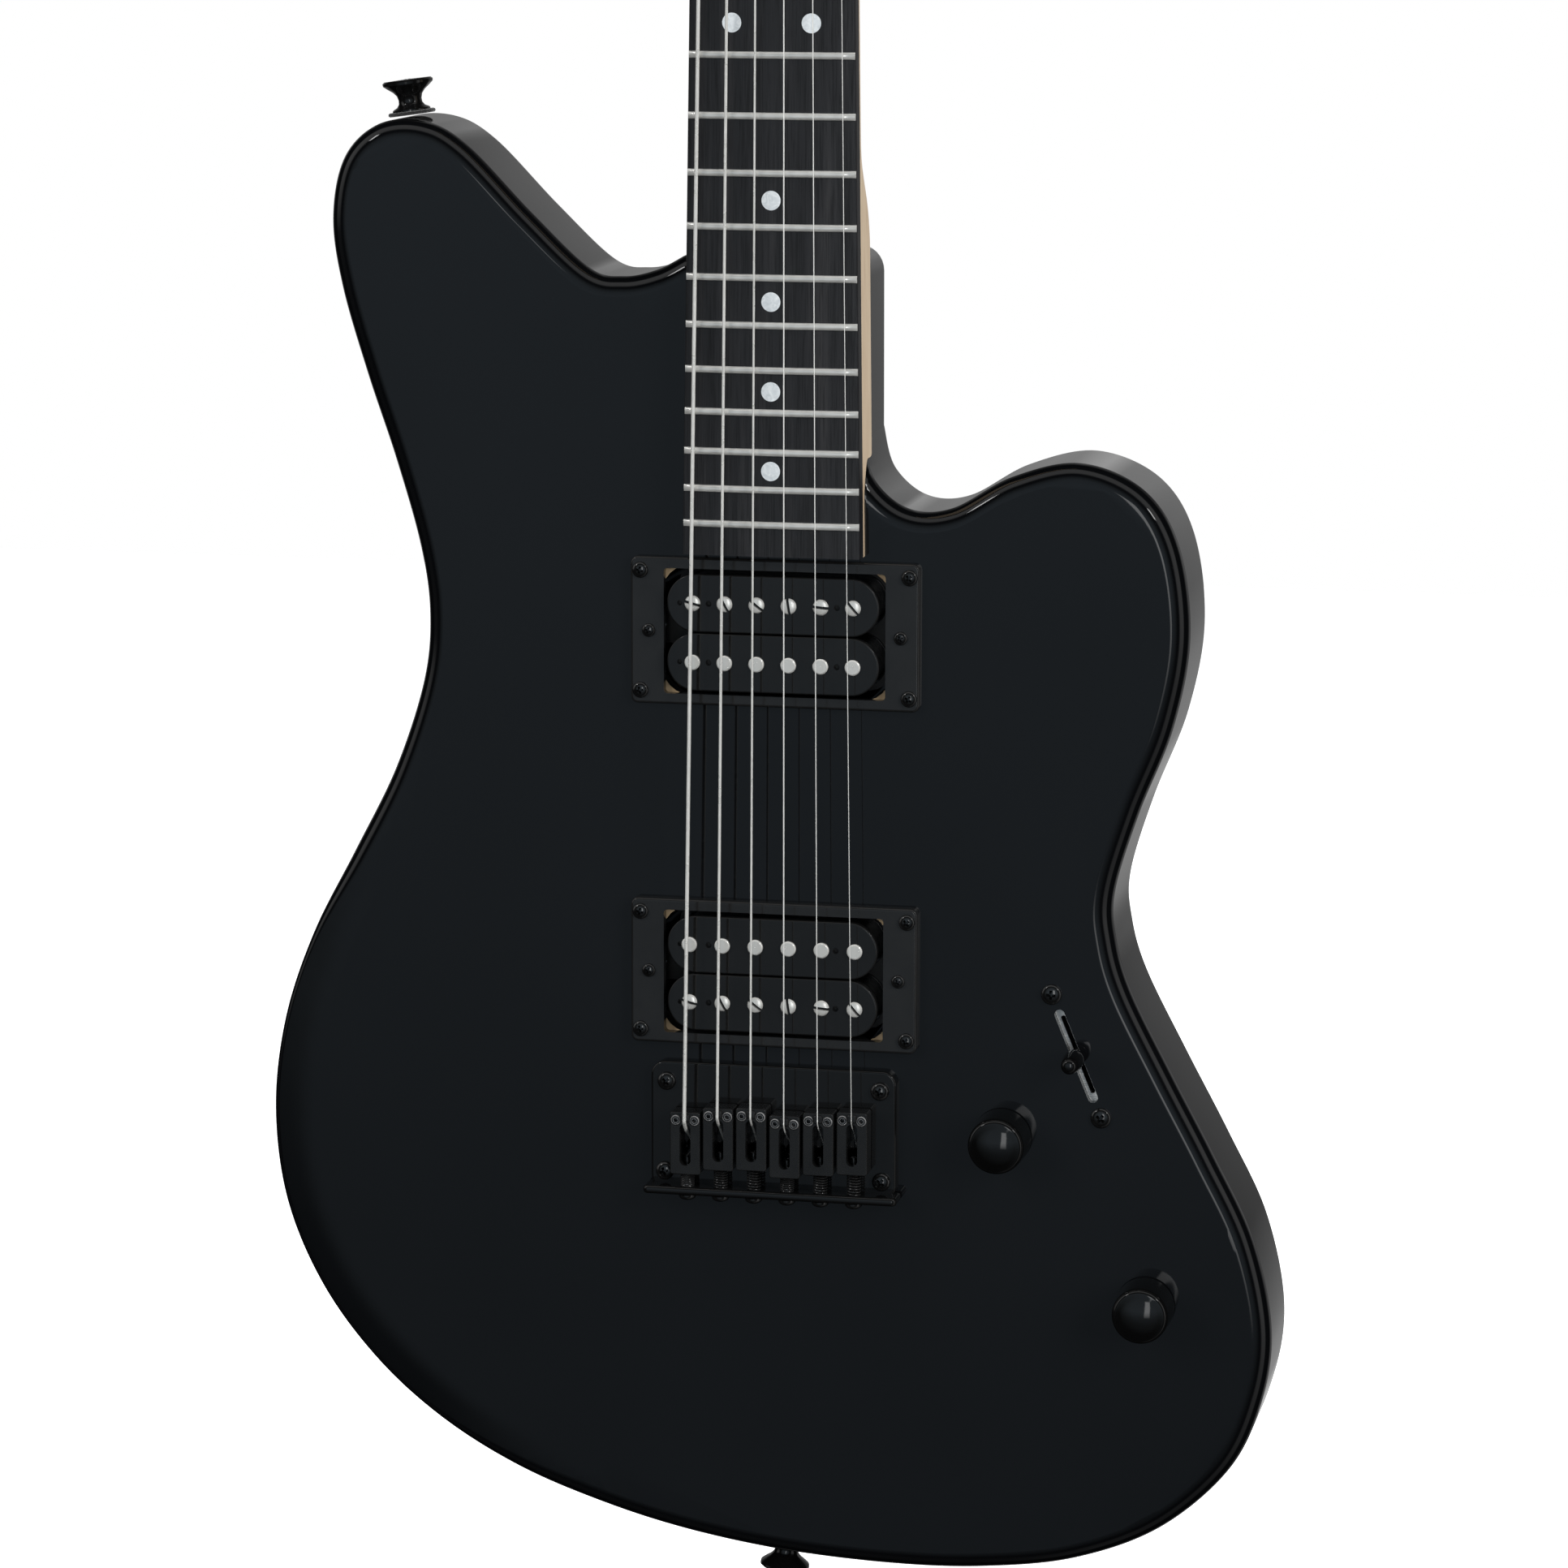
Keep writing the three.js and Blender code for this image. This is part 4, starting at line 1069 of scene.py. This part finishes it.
def ring_blank(rise):
    made = slab(rounded_box(90.6, 45.8, 2.2), -rise, -0.05, 0.9, 0.0, 5)
    return made.cut(slab(rounded_box(69.5, 39, 1.2), -rise - 1, 1))


def spring(radius, wire, start, end, turns, steps=16):
    """A coil spring along Y."""
    path = []
    total = int(turns * steps)
    for k in range(total + 1):
        angle = 2 * math.pi * k / steps
        depth = start + (end - start) * k / total
        path.append((radius * math.cos(angle), depth, radius * math.sin(angle)))
    return tube(path, wire, 7)


def height_springs(name, centre):
    """The two springs that hold a pickup off the floor of its cavity."""
    coil = spring(2.0, 0.3, 0.4, 11.7, 6)
    for side, x in (("left", -EAR_X), ("right", EAR_X)):
        place = centre @ at(x, 0, 0)
        ends = [place @ Vector((0, depth, 0)) * MM for depth in (1.5, 10.5)]
        piece(f"{name}_{side}_height_spring", coil, [STEEL], place=place, slot="steel",
              blend=("root", f"{name}_pickup", *ends))


def coils(name, centre):
    """The two coils, with the screws in the outer one of each pickup and slugs in the inner one."""
    unit = f"{name}_pickup"
    slug, screw = pole_slug(), pole_screw()
    spots = [((i / (STRING_COUNT - 1) - 0.5) * POLE_SPREAD[name], -POLE_TOP, 0) for i in range(STRING_COUNT)]
    for level, shift in (("upper", COIL_SHIFT), ("lower", -COIL_SHIFT)):
        place = centre @ at(0, 0, shift)
        piece(f"{unit}_{level}_coil", bobbin(), [BOBBIN_PLASTIC, COIL_TAPE], unit, place,
              [f"{unit}_{level}_bobbin"], "satin_plastic")
        outer = (level == "upper") == (name == "neck")
        put(f"{name}_{level}_pole", screw if outer else slug, [POLE_NICKEL], spots,
            (15, 62, 38, 81, 5, 49), place=place, body=unit, slot="steel")


def pickups():
    height_screw = domed(2.1, 1.3, 20, 1.1)
    for name, z in PICKUP_POSITIONS.items():
        rise = RING_RISE[name]
        centre = LOW @ at(0, 0, z)
        piece(f"{name}_pickup_surround", ring_blank(rise), [SATIN_PLASTIC], place=centre,
              replaces=[f"{name}_pickup_ring"], slot="satin_plastic")
        corners = [(x, -rise, z) for z in (18.7, -18.7) for x in (-42.15, 42.15)]
        put(f"{name}_ring_screw", RING_SCREW, [BLACK_SCREW], corners, (12, 50, 77, 31), place=centre)
        ears = [(-EAR_X, -rise, 0), (EAR_X, -rise, 0)]
        put(f"{name}_height_screw", height_screw, [BLACK_SCREW], ears, (20, 64), place=centre)
        height_springs(name, centre)
        coils(name, centre)


# ---------------------------------------------------------------- bridge
def bridge_plate():
    outline = rounded_box(78, PLATE_FRONT - LIP_BACK, 4.5, 0, (PLATE_FRONT + LIP_BACK) / 2)
    floor = slab(outline, -PLATE_TOP, -0.05, 0.8, 0.0, 5)
    holes = [slab(rounded_box(3.6, 9, 1.7, x, STRING_HOLE + 1), -PLATE_TOP - 1, 1) for x in STRING_X]
    lip = slab(rounded_box(80.6, LIP_TOP - 0.05, 1.6), -1.3, 1.3, 1.0, 1.0)
    lip.placed(at(0, -(LIP_TOP + 0.05) / 2, LIP_BACK + 1.3) @ FACING_DOWN)
    piece("bridge_base", floor.cut(together(holes)).join(lip), [BLACK_PLATE], replaces=["bridge_plate"])
    corners = []
    for x, z in ((33.9, 5.25), (34.5, -23.6)):
        corners += [(-x, -PLATE_TOP, z), (x, -PLATE_TOP, z)]
    put("bridge_screw", PLATE_SCREW, [BLACK_SCREW], corners, (45, 20, 70, 35))


def saddle_crest(i):
    """Where a string's middle crosses its saddle."""
    return string_point(i, SADDLE_FRONTS[i] - CREST_BACK)


def grub(length):
    """A headless screw, dark, with a painted highlight on its rim and on the edge of its six-sided socket."""
    # The rim and the socket's edge take the second, brighter material: a painted highlight.
    rim = turned([(1.25, 0.06), (1.35, 0), (1.6, 0.25), (1.6, 0.5), (1.25, 0.5)], 32, True).painted(1)
    core = turned([(0, 0.06), (1.25, 0.06), (1.25, length), (0, length)], 32)
    hexagon = [(0.8 * math.cos(math.pi / 3 * k), 0.8 * math.sin(math.pi / 3 * k)) for k in range(6)]
    edge = [(x * 1.18, z * 1.18) for x, z in hexagon]
    lip = slab(edge, 0.0, 0.3).cut(slab(hexagon, -1, 1)).painted(1)
    return core.cut(slab(edge, -1, 1.4)) + lip + rim


def saddle(i):
    """A block with a long slot that the string drops through, behind a grooved crest."""
    crest = saddle_crest(i)
    radius = STRING_DIAMETERS[i] / 2
    ridge_top = crest.y + radius * 0.4
    top = ridge_top + 0.75
    front = SADDLE_FRONTS[i]
    body_name = f"saddle_{i + 1}"
    outline = rounded_box(SADDLE_WIDTH, SADDLE_LENGTH, 0.9, 0, front - SADDLE_LENGTH / 2)
    block = slab(outline, top, -SADDLE_BOTTOM, 0.35, 0.1)
    ridge = slab(rounded_box(2.9, 2.7, 0.7, 0, front - CREST_BACK), ridge_top, top + 1, 0.5)
    slot = slab(rounded_box(3.5, 13.4, 1.7, 0, front - 10.4), top - 2, 1)
    groove = bar(radius + 0.12, (0, crest.y, front + 1), (0, crest.y, front - 5), 14)
    bore = bar(1.35, (0, INTONATION_Y, front - 16), (0, INTONATION_Y, front - 21))
    grubs = together([rod(1.75, top - 1, 1, x, front - GRUB_BACK) for x in (-GRUB_X, GRUB_X)])
    made = block.cut(slot, grubs, bore, groove) + ridge.cut(groove)
    place = LOW @ at(crest.x, 0, 0)
    piece(f"{body_name}_block", made, [BLACK_SADDLE], body_name, place, [body_name])
    spots = [(x, top - 0.25, front - GRUB_BACK) for x in (-GRUB_X, GRUB_X)]
    put(f"{body_name}_grub", grub(-PLATE_TOP - top + 0.2), [BLACK_SCREW, PAINTED_HIGHLIGHT_SCREW], spots, (10, 37),
        place=place, body=body_name)
    intonation(i, front - SADDLE_LENGTH, place)


def intonation(i, back, place):
    """The screw through the lip into a saddle's back, and the spring between them."""
    shaft = bar(1.0, (0, INTONATION_Y, back + 5), (0, INTONATION_Y, LIP_BACK + 0.2), 16)
    head = domed(2.7, 1.9, 0.5, 1.2)
    head.placed(at(0, INTONATION_Y, LIP_BACK - 0.05) @ FACING_DOWN)
    piece(f"intonation_screw_{i + 1}", shaft + head, [BLACK_SCREW], place=place)
    lip_front = LIP_BACK + 2.65
    coil = spring(2.0, 0.27, 0, back - lip_front - 0.1, 7.5)
    coil.placed(at(0, INTONATION_Y, lip_front + 0.05) @ FACING_DOWN)
    ends = [place @ Vector((0, INTONATION_Y, z)) * MM for z in (lip_front, back)]
    body_name = f"saddle_{i + 1}"
    piece(f"intonation_spring_{i + 1}", coil, [SPRING_STEEL], place=place, blend=("root", body_name, *ends))


# ---------------------------------------------------------------- strings
def string(i):
    """The speaking length with its turns round the post, and the length behind the saddle."""
    radius = STRING_DIAMETERS[i] / 2
    look = WOUND_STEEL if i < WOUND_STRINGS else STRING_STEEL
    crest = saddle_crest(i)
    route = []
    for above in (0, 4, 10, 20, 30, BLEND_LENGTH):
        route.append(LOW @ string_point(i, crest.z + above))
    for z in (200, 400, 600):
        route.append(LOW @ string_point(i, z))
    nut = LOW @ string_point(i, SCALE_LENGTH)
    route += [nut, nut + Vector((0, 0.1, 1.5))]
    x, z = post_place(i)
    wrap = POST_RADIUS + radius + WRAP_GAP
    turns = 2.25 if i < WOUND_STRINGS else 3.25
    steps = int(turns * 20)
    rise = turns * (STRING_DIAMETERS[i] + 0.12)
    for step in range(steps + 1):
        angle = 2 * math.pi * turns * step / steps
        point = Vector((x + wrap * math.cos(angle), -7.5 + rise * step / steps, z + wrap * math.sin(angle)))
        route.append(HEAD @ point)
    ends = [(LOW @ string_point(i, crest.z + BLEND_LENGTH)) * MM, (LOW @ crest) * MM]
    piece(f"string_{i + 1}_length", tube(route, radius), [look], place=Matrix(), replaces=[f"string_{i + 1}"],
          slot="string_steel", blend=("root", f"saddle_{i + 1}", *ends))
    tail = [
        crest, (crest.x, crest.y + 0.05, crest.z - 1.2), (crest.x, crest.y + 1.5, crest.z - 3.0),
        (crest.x, crest.y + 4.1, crest.z - 5.0), (crest.x, -2.6, -12.2), (crest.x, 0.8, -14.5),
        (crest.x, 6, STRING_HOLE), (crest.x, BODY_THICKNESS - 9, STRING_HOLE),
    ]
    ends = [(LOW @ Vector(point)) * MM for point in (crest, (crest.x, -2.6, -12.2))]
    piece(f"string_{i + 1}_tail", tube(spline(tail, 5), radius), [look], slot="string_steel",
          blend=(f"saddle_{i + 1}", "root", *ends))
    profile = [(1.0, -1.8), (1.6, -1.9), (1.9, -1.4), (1.4, 0), (1.9, 1.4), (1.6, 1.9), (1.0, 1.8)]
    ball = turned(profile, 24, True)
    ball.placed(at(crest.x, BODY_THICKNESS - 8, STRING_HOLE) @ turn("Z", math.pi / 2))
    piece(f"string_{i + 1}_ball", ball, [BRASS], slot="brass")


def ferrules():
    flange, barrel, bore, string_hole = 4.7, 3.9, 2.3, 0.9
    profile = [
        (bore, 0.7), (flange - 0.4, 0.7), (flange, 0.3), (flange, 0.02), (barrel, 0.02),
        (barrel, -10), (string_hole, -10), (string_hole, -9.2), (bore, -9.2),
    ]
    ferrule = turned([(radius, BODY_THICKNESS + depth) for radius, depth in profile], 40, True)
    put("string_ferrule", ferrule, [BLACK_PLATE], [(x, 0, STRING_HOLE) for x in STRING_X])


# ---------------------------------------------------------------- controls
def knob_profile():
    profile = [(0, -10), (3.25, -10), (3.25, -3), (7.4, -3), (7.4, -0.6), (8.9, -0.6), (9.2, -0.9)]
    profile += [(9.15, -4), (8.98, -8), (8.8, -11.6)]
    for k in range(1, 9):
        angle = math.pi / 2 * k / 8
        profile.append((7.2 + 1.55 * math.cos(angle), -11.9 - 2.1 * math.sin(angle)))
    for radius in (6.2, 5.0, 3.6, 2.0):
        profile.append((radius, -15.4 + (radius / 7.2) ** 2 * 1.35))
    return profile + [(0, -15.4)]


def controls():
    knob = turned(knob_profile(), 72)
    for name, (x, z) in (("volume", VOLUME_AT), ("tone", TONE_AT)):
        place = LOW @ at(x, 0, z)
        piece(f"{name}_cap", knob, [KNOB_PLASTIC], f"{name}_control", place, [f"{name}_knob"], "gloss_knob")
    dress(STEEL, "volume_pot", "tone_pot")
    dress(BRASS, "volume_shaft", "tone_shaft")


def selector():
    place = LOW @ SWITCH
    profile = [(0, -15.4), (1.2, -15.3), (2.0, -14.9), (2.5, -14.1), (2.75, -12.6), (3.0, -10.6), (3.25, -8)]
    profile += [(3.3, -6), (3.15, -4.4), (2.7, -3.5), (1.8, -3.4), (0, -3.4)]
    tip = turned(profile, 40).cut(box(2, 14, 4, 0, -3.4, 0))
    piece("switch_cap", tip, [KNOB_PLASTIC], "pickup_selector", place, ["switch_tip"], "gloss_knob")
    spots = [(0, 0, 20.7), (0, 0, -20.7)]
    put("switch_screw", domed(3.2, 1.7, 9, 1.4), [BLACK_SCREW], spots, (25, 60), place=place)
    rim = slab(rounded_box(3.1, 30.9, 1.5), 2.4, 3.2).cut(slab(rounded_box(1.5, 26, 0.7, 0.25), 1, 5))
    piece("switch_slot_rim", rim, [BRIGHT_METAL], place=place, slot="steel")
    dress(STEEL, "switch_frame", "switch_lever")


def output_jack():
    """The jack and its plate on the lower edge, facing down."""
    facing = LOW @ at(*JACK_AT) @ FACING_DOWN
    plate = slab(rounded_box(34, 26, 4), 1.3, 2.9, 0.4).cut(rod(5, -3, 8))
    piece("jack_cover", plate, [BLACK_PLATE], place=facing, replaces=["jack_plate"])
    put("jack_screw", SMALL_SCREW, [BLACK_SCREW], [(-13, 1.3, 0), (13, 1.3, 0)], (15, 55), place=facing)
    dress(STEEL, "output_jack")


def strap_buttons():
    profile = [(0, 11.2), (3.2, 11.2), (7.3, 11.1), (7.9, 10.6), (7.8, 9.8), (6.6, 8.8), (5.0, 7.6)]
    profile += [(4.0, 6.4), (3.6, 5.0), (3.7, 3.8), (4.4, 2.8), (5.6, 2.2), (5.9, 1.9), (5.9, 1.5), (0, 1.5)]
    button = turned(profile, 56).cut(rod(3.3, 9.6, 14))
    washer = turned([(2.4, 0.25), (7.0, 0.25), (7.4, 0.6), (7.3, 1.2), (6.9, 1.45), (2.4, 1.45)], 48, True)
    screw = domed(3.1, 1.7, 3, 1.6).placed(at(0, 9.65, 0) @ turn("X", math.pi))
    for name, x, z, lean in (("upper", -120.4, 302.7, -8.0), ("lower", 0.0, -147.75, 186.0)):
        place = LOW @ at(x, JACK_AT[1], z) @ turn("Y", math.radians(lean)) @ FACING_DOWN
        piece(f"strap_pin_{name}", button, [BLACK_PLATE], place=place, replaces=[f"strap_button_{name}"])
        piece(f"strap_felt_{name}", washer, [FELT], place=place, slot="satin_plastic")
        piece(f"strap_screw_{name}", screw, [BLACK_SCREW], place=place)


# ---------------------------------------------------------------- back of the body
def neck_bolt_plate():
    x, z = NECK_PLATE_AT
    plate = slab(rounded_box(42, 60, 5, x, z), BODY_THICKNESS + 0.05, BODY_THICKNESS + 2, 0.0, 0.5)
    corners = [(x + sign_x * 14.5, z + sign_z * 23.5) for sign_x in (-1, 1) for sign_z in (-1, 1)]
    top, bottom = BODY_THICKNESS + 2.3, BODY_THICKNESS + 0.7
    seat = turned([(0, top), (4.6, top), (3.2, bottom), (0, bottom)], 28)
    seats = together([seat.copy().moved(x, 0, z) for x, z in corners])
    piece("neck_bolt_plate", plate.cut(seats), [BLACK_PLATE], replaces=["neck_plate"])
    bolt = domed(3.9, 1.0, 8, 2.2).placed(FACING_BACK)
    spots = [(x, BODY_THICKNESS + 1.2, z) for x, z in corners]
    put("neck_screw", bolt, [BLACK_SCREW], spots, (10, 75, 40, 58))


def control_hatch():
    cover = slab(inset(CONTROL_EDGE, -4), BODY_THICKNESS - 2.35, BODY_THICKNESS - 0.2, 0.0, 0.4)
    piece("control_hatch", cover, [COVER_PLASTIC], replaces=["control_cover"], slot="satin_plastic")
    inner = inset(CONTROL_EDGE, -0.2)
    spots = [(inner[k][0], BODY_THICKNESS - 0.25, inner[k][1]) for k in HATCH_SCREWS]
    put("hatch_screw", domed(2.2, 0.7, 6, 1.0).placed(FACING_BACK), [BLACK_SCREW], spots, (5, 33, 71))


# ---------------------------------------------------------------- headstock
def tuner_frame(i):
    x, z = post_place(i)
    return HEAD @ at(x, 0, z) @ turn("Y", POST_LEAN)


def tuner_housing():
    back = HEAD_THICKNESS + 0.2
    shell = slab(rounded_box(17, 20.4, 3, 0, 2.6), back, HOUSING_BACK, 0.0, 1.4, 5)
    ear = slab(rounded_box(7, 6.4, 3, -6.5, -9.2), back, back + 1.6, 0.0, 0.3)
    hollow = box(14.4, 7.9, 17.8, 0, back + 3.9, 2.6)
    return shell.join(ear).cut(hollow)


def tuner_post():
    profile = [(0, -12.5), (2.4, -12.5), (2.9, -12.1), (3.0, -11.6), (3.0, -10.4), (2.75, -9.4), (2.7, -7.2)]
    profile += [(2.9, -5.6), (3.0, -4.6), (3.0, 16.2), (5.4, 16.4), (5.4, 20.4), (0, 20.4)]
    return turned(profile, 40).cut(bar(0.8, (-4, -8.6, 0), (4, -8.6, 0), 12))


def tuner_button():
    """A flattened oval button on a stem, with the worm shaft behind it."""
    oval = [(7.6 * math.cos(math.pi * k / 24), 9.6 * math.sin(math.pi * k / 24)) for k in range(48)]
    paddle = slab(oval, -3.2, 3.2, 2.4, 2.4, 6).moved(-23.5, WORM_DEPTH, WORM_OFFSET)
    stem = bar(3.1, (-12.0, WORM_DEPTH, WORM_OFFSET), (-18.0, WORM_DEPTH, WORM_OFFSET), 28)
    shaft = bar(2.0, (6.6, WORM_DEPTH, WORM_OFFSET), (-13.0, WORM_DEPTH, WORM_OFFSET), 20)
    return paddle.join(stem, shaft)


def tuners():
    housing, post, button = tuner_housing(), tuner_post(), tuner_button()
    profile = [(3.2, -2.6), (4.6, -2.6), (5.0, -2.2), (5.2, -0.9), (7.0, -0.8), (7.2, -0.1), (3.2, -0.1)]
    bush = turned(profile, 6, True)
    washer = turned([(3.2, -0.7), (7.4, -0.7), (7.6, -0.5), (7.6, -0.05), (3.2, -0.05)], 48, True)
    screw = domed(1.7, 0.9, 8, 0.9).placed(FACING_BACK)
    for i in range(STRING_COUNT):
        place = tuner_frame(i)
        unit = f"tuner_{i + 1}"
        piece(f"{unit}_case", housing, [TUNER_BLACK], "root", place, [f"{unit}_housing"])
        piece(f"{unit}_capstan", post, [TUNER_BLACK], f"{unit}_post", place, [f"{unit}_post"])
        piece(f"{unit}_key", button, [TUNER_BLACK], f"{unit}_button", place, [f"{unit}_button"])
        piece(f"{unit}_bush", bush, [TUNER_BLACK], "root", place)
        piece(f"{unit}_washer", washer, [TUNER_BLACK], "root", place)
        piece(f"{unit}_screw", screw, [BLACK_SCREW], "root", place @ at(-6.5, HEAD_THICKNESS + 1.8, -9.2))


def truss_cover():
    outline = [(-8, 7), (8, 7)] + bend((8, 7), (9, 20), (1.5, 32)) + bend((1.5, 32), (0, 34), (-1.5, 32))
    outline += bend((-1.5, 32), (-9, 20), (-8, 7))[:-1]
    piece("truss_cover", slab(outline, -1.8, -0.1, 0.4), [SATIN_PLASTIC], place=HEAD,
          replaces=["truss_rod_cover"], slot="satin_plastic")
    spots = [(0, -1.8, 28.5), (-5, -1.8, 10), (5, -1.8, 10)]
    put("truss_cover_screw", domed(1.6, 0.8, 4, 0.8), [BLACK_SCREW], spots, (15, 50, 80), place=HEAD)


# ---------------------------------------------------------------- studio
# Brightness of each part of the world against the height of a direction, from -1 down to 1 up.
FRONT_GLOW = [(-0.45, 0.10), (-0.27, 0.165), (-0.15, 0.25), (-0.03, 0.34), (0.3, 0.3)]
RIGHT_RING = [(-0.9, 0.1), (-0.4, 0.35), (-0.1, 0.6), (0.3, 0.7), (0.9, 0.6)]
LEFT_RING = [(-0.3, 0.02), (-0.12, 0.05), (0.0, 0.4), (0.3, 0.7), (0.9, 0.6)]
BACK_GLOW = [(-0.3, 0.4), (-0.2, 0.34), (-0.1, 0.28), (0.03, 0.46), (0.2, 0.5), (0.3, 0.22), (0.5, 0.25)]
# A soft window a little to the right of the front: its extent sideways and in height.
WINDOW_WIDTH = [(0.05, 0.0), (0.075, 1.0), (0.2, 1.0), (0.23, 0.0)]
WINDOW_HEIGHT = [(-0.26, 0.0), (-0.16, 0.6), (-0.05, 1.0), (0.25, 1.0), (0.3, 0.0)]
WINDOW_LIGHT = 2.4
# Brightness of the back against the sideways share of a direction.
BACK_WIDTH = [
    (-0.6, 1.1), (-0.35, 0.3), (-0.16, 0.8), (-0.06, 1.5), (0.0, 0.9),
    (0.1, 0.95), (0.2, 0.7), (0.28, 0.35), (0.36, 0.5), (0.5, 1.1),
]
# Brightness of each part against the depth of a direction, from -1 in front to 1 behind.
GLOW_DEPTH = [(-1.0, (0.82, 1.0, 1.16)), (-0.93, (0.8, 0.97, 1.12)), (-0.84, (0.5, 0.6, 0.66)), (-0.7, 0.0)]
WINDOW_DEPTH = [(-0.86, WINDOW_LIGHT), (-0.76, 0.0)]
RING_DEPTH = [(-0.56, 0.0), (-0.42, 1.0), (-0.12, 1.0), (0.02, 0.0)]
BACK_DEPTH = [(0.55, 0.0), (0.8, 0.8), (1.0, 1.0)]
CAMERA_LENS, CAMERA_SENSOR = 124.3, 36
CAMERA_AT, CAMERA_TARGET = (0.3420, -1.6092, -0.2502), (0.00266, 0.0, -0.54732)
CAMERA_ROLL = math.radians(0.13)


def point_at(made, eye, target):
    made.matrix_world = at(*eye) @ (
        (Vector(target) - Vector(eye)).to_track_quat("-Z", "Y").to_matrix().to_4x4()
    )


def camera():
    data = bpy.data.cameras.new("camera")
    data.lens = CAMERA_LENS
    data.sensor_width = CAMERA_SENSOR
    made = bpy.data.objects.new("camera", data)
    bpy.context.scene.collection.objects.link(made)
    point_at(made, CAMERA_AT, CAMERA_TARGET)
    made.matrix_world = made.matrix_world @ turn("Z", CAMERA_ROLL)
    bpy.context.scene.camera = made


def lamp(name, eye, target, width, height, power, glossy=True):
    """A rectangular lamp; one that isn't glossy lights surfaces without showing in their gloss."""
    data = bpy.data.lights.new(name, "AREA")
    data.shape = "RECTANGLE"
    data.size, data.size_y = width, height
    data.energy = power
    made = bpy.data.objects.new(name, data)
    bpy.context.scene.collection.objects.link(made)
    made.visible_glossy = glossy
    point_at(made, eye, target)


def floor():
    low = CAD_BOUNDS[0][2] - 0.25
    reach = 4.0
    work = bmesh.new()
    corners = [work.verts.new((x * reach, y * reach, low)) for x, y in SQUARE_CORNERS]
    work.faces.new(corners)
    mesh = bpy.data.meshes.new("floor")
    work.to_mesh(mesh)
    work.free()
    nodes = Nodes("pale_floor")
    shade = nodes.noise(even(3.0), detail=2.0)
    nodes.link(nodes.ramp(shade, [(0.3, grey(0.86)), (0.7, grey(0.9))]), nodes.shader.inputs["Base Color"])
    nodes.set(Roughness=0.9, Emission_Color=(1, 1, 1, 1), Emission_Strength=1.0)
    mesh.materials.append(nodes.material)
    made = bpy.data.objects.new("floor", mesh)
    made.visible_glossy = False
    made.visible_diffuse = False
    made.visible_shadow = False
    bpy.context.scene.collection.objects.link(made)


def world():
    """White to the camera. To everything else a soft studio: a dim glow with a window in front, a ring of
    light round the sides, and a glow behind."""
    made = bpy.data.worlds.new("studio")
    bpy.context.scene.world = made
    nodes = Tree(made)
    place = nodes.add("ShaderNodeTexCoord")
    split = nodes.add("ShaderNodeSeparateXYZ")
    nodes.link(place.outputs["Generated"], split.inputs["Vector"])
    across, depth, height = split.outputs["X"], split.outputs["Y"], split.outputs["Z"]

    def ramp(value, stops):
        """Brightness against one part of a direction, which goes from -1 to 1."""
        colours = []
        for where, level in stops:
            colours.append(((where + 1) / 2, level if isinstance(level, tuple) else grey(level)))
        return nodes.ramp(nodes.spread(value, 0.0, 1.0, -1.0, 1.0), colours)

    def product(first, *others):
        for other in others:
            first = nodes.mix("MULTIPLY", first, other)
        return first

    glow = product(ramp(depth, GLOW_DEPTH), ramp(height, FRONT_GLOW))
    window = product(ramp(across, WINDOW_WIDTH), ramp(height, WINDOW_HEIGHT), ramp(depth, WINDOW_DEPTH))
    left = product(ramp(across, [(-0.1, 1.0), (0.1, 0.0)]), ramp(height, LEFT_RING))
    right = product(ramp(across, [(-0.1, 0.0), (0.1, 1.0)]), ramp(height, RIGHT_RING))
    ring = product(ramp(depth, RING_DEPTH), nodes.mix("ADD", left, right))
    back = product(ramp(depth, BACK_DEPTH), ramp(height, BACK_GLOW), ramp(across, BACK_WIDTH))
    light = nodes.mix("ADD", nodes.mix("ADD", nodes.mix("ADD", glow, window), ring), back)
    sky = nodes.add("ShaderNodeBackground")
    nodes.link(light, sky.inputs["Color"])
    plain = nodes.add("ShaderNodeBackground")
    plain.inputs["Color"].default_value = (1.0, 1.0, 1.0, 1.0)
    rays = nodes.add("ShaderNodeLightPath")
    choose = nodes.add("ShaderNodeMixShader")
    nodes.link(rays.outputs["Is Camera Ray"], choose.inputs["Fac"])
    nodes.link(sky.outputs["Background"], choose.inputs[1])
    nodes.link(plain.outputs["Background"], choose.inputs[2])
    nodes.link(choose.outputs["Shader"], nodes.tree.nodes["World Output"].inputs["Surface"])


def studio():
    bpy.context.scene.view_settings.view_transform = "Standard"
    middle = (0.0, 0.0, -0.5)
    world()
    floor()
    camera()
    lamp("left_fill", (-1.6, -1.7, 0.3), middle, 1.0, 1.6, 30, glossy=False)
    lamp("right_fill", (1.9, -1.4, 0.2), middle, 1.0, 1.6, 44, glossy=False)
    lamp("rear_fill", (0.4, 2.2, 0.4), middle, 1.6, 1.2, 30, glossy=False)
    lamp("left_sparkle", (-1.5, -1.2, 0.9), middle, 0.2, 0.35, 2.2)
    lamp("right_sparkle", (1.7, -1.1, 0.7), middle, 0.2, 0.35, 2.2)


# ---------------------------------------------------------------- the guitar
body()
neck()
fretboard()
pickups()
bridge_plate()
for number in range(STRING_COUNT):
    saddle(number)
    string(number)
ferrules()
controls()
selector()
output_jack()
strap_buttons()
neck_bolt_plate()
control_hatch()
tuners()
truss_cover()
dress(STEEL, "truss_rod")
dress(COIL_TAPE, "neck_pickup_base", "bridge_pickup_base")
dress(NUT_GRAPHITE, "nut")
studio()
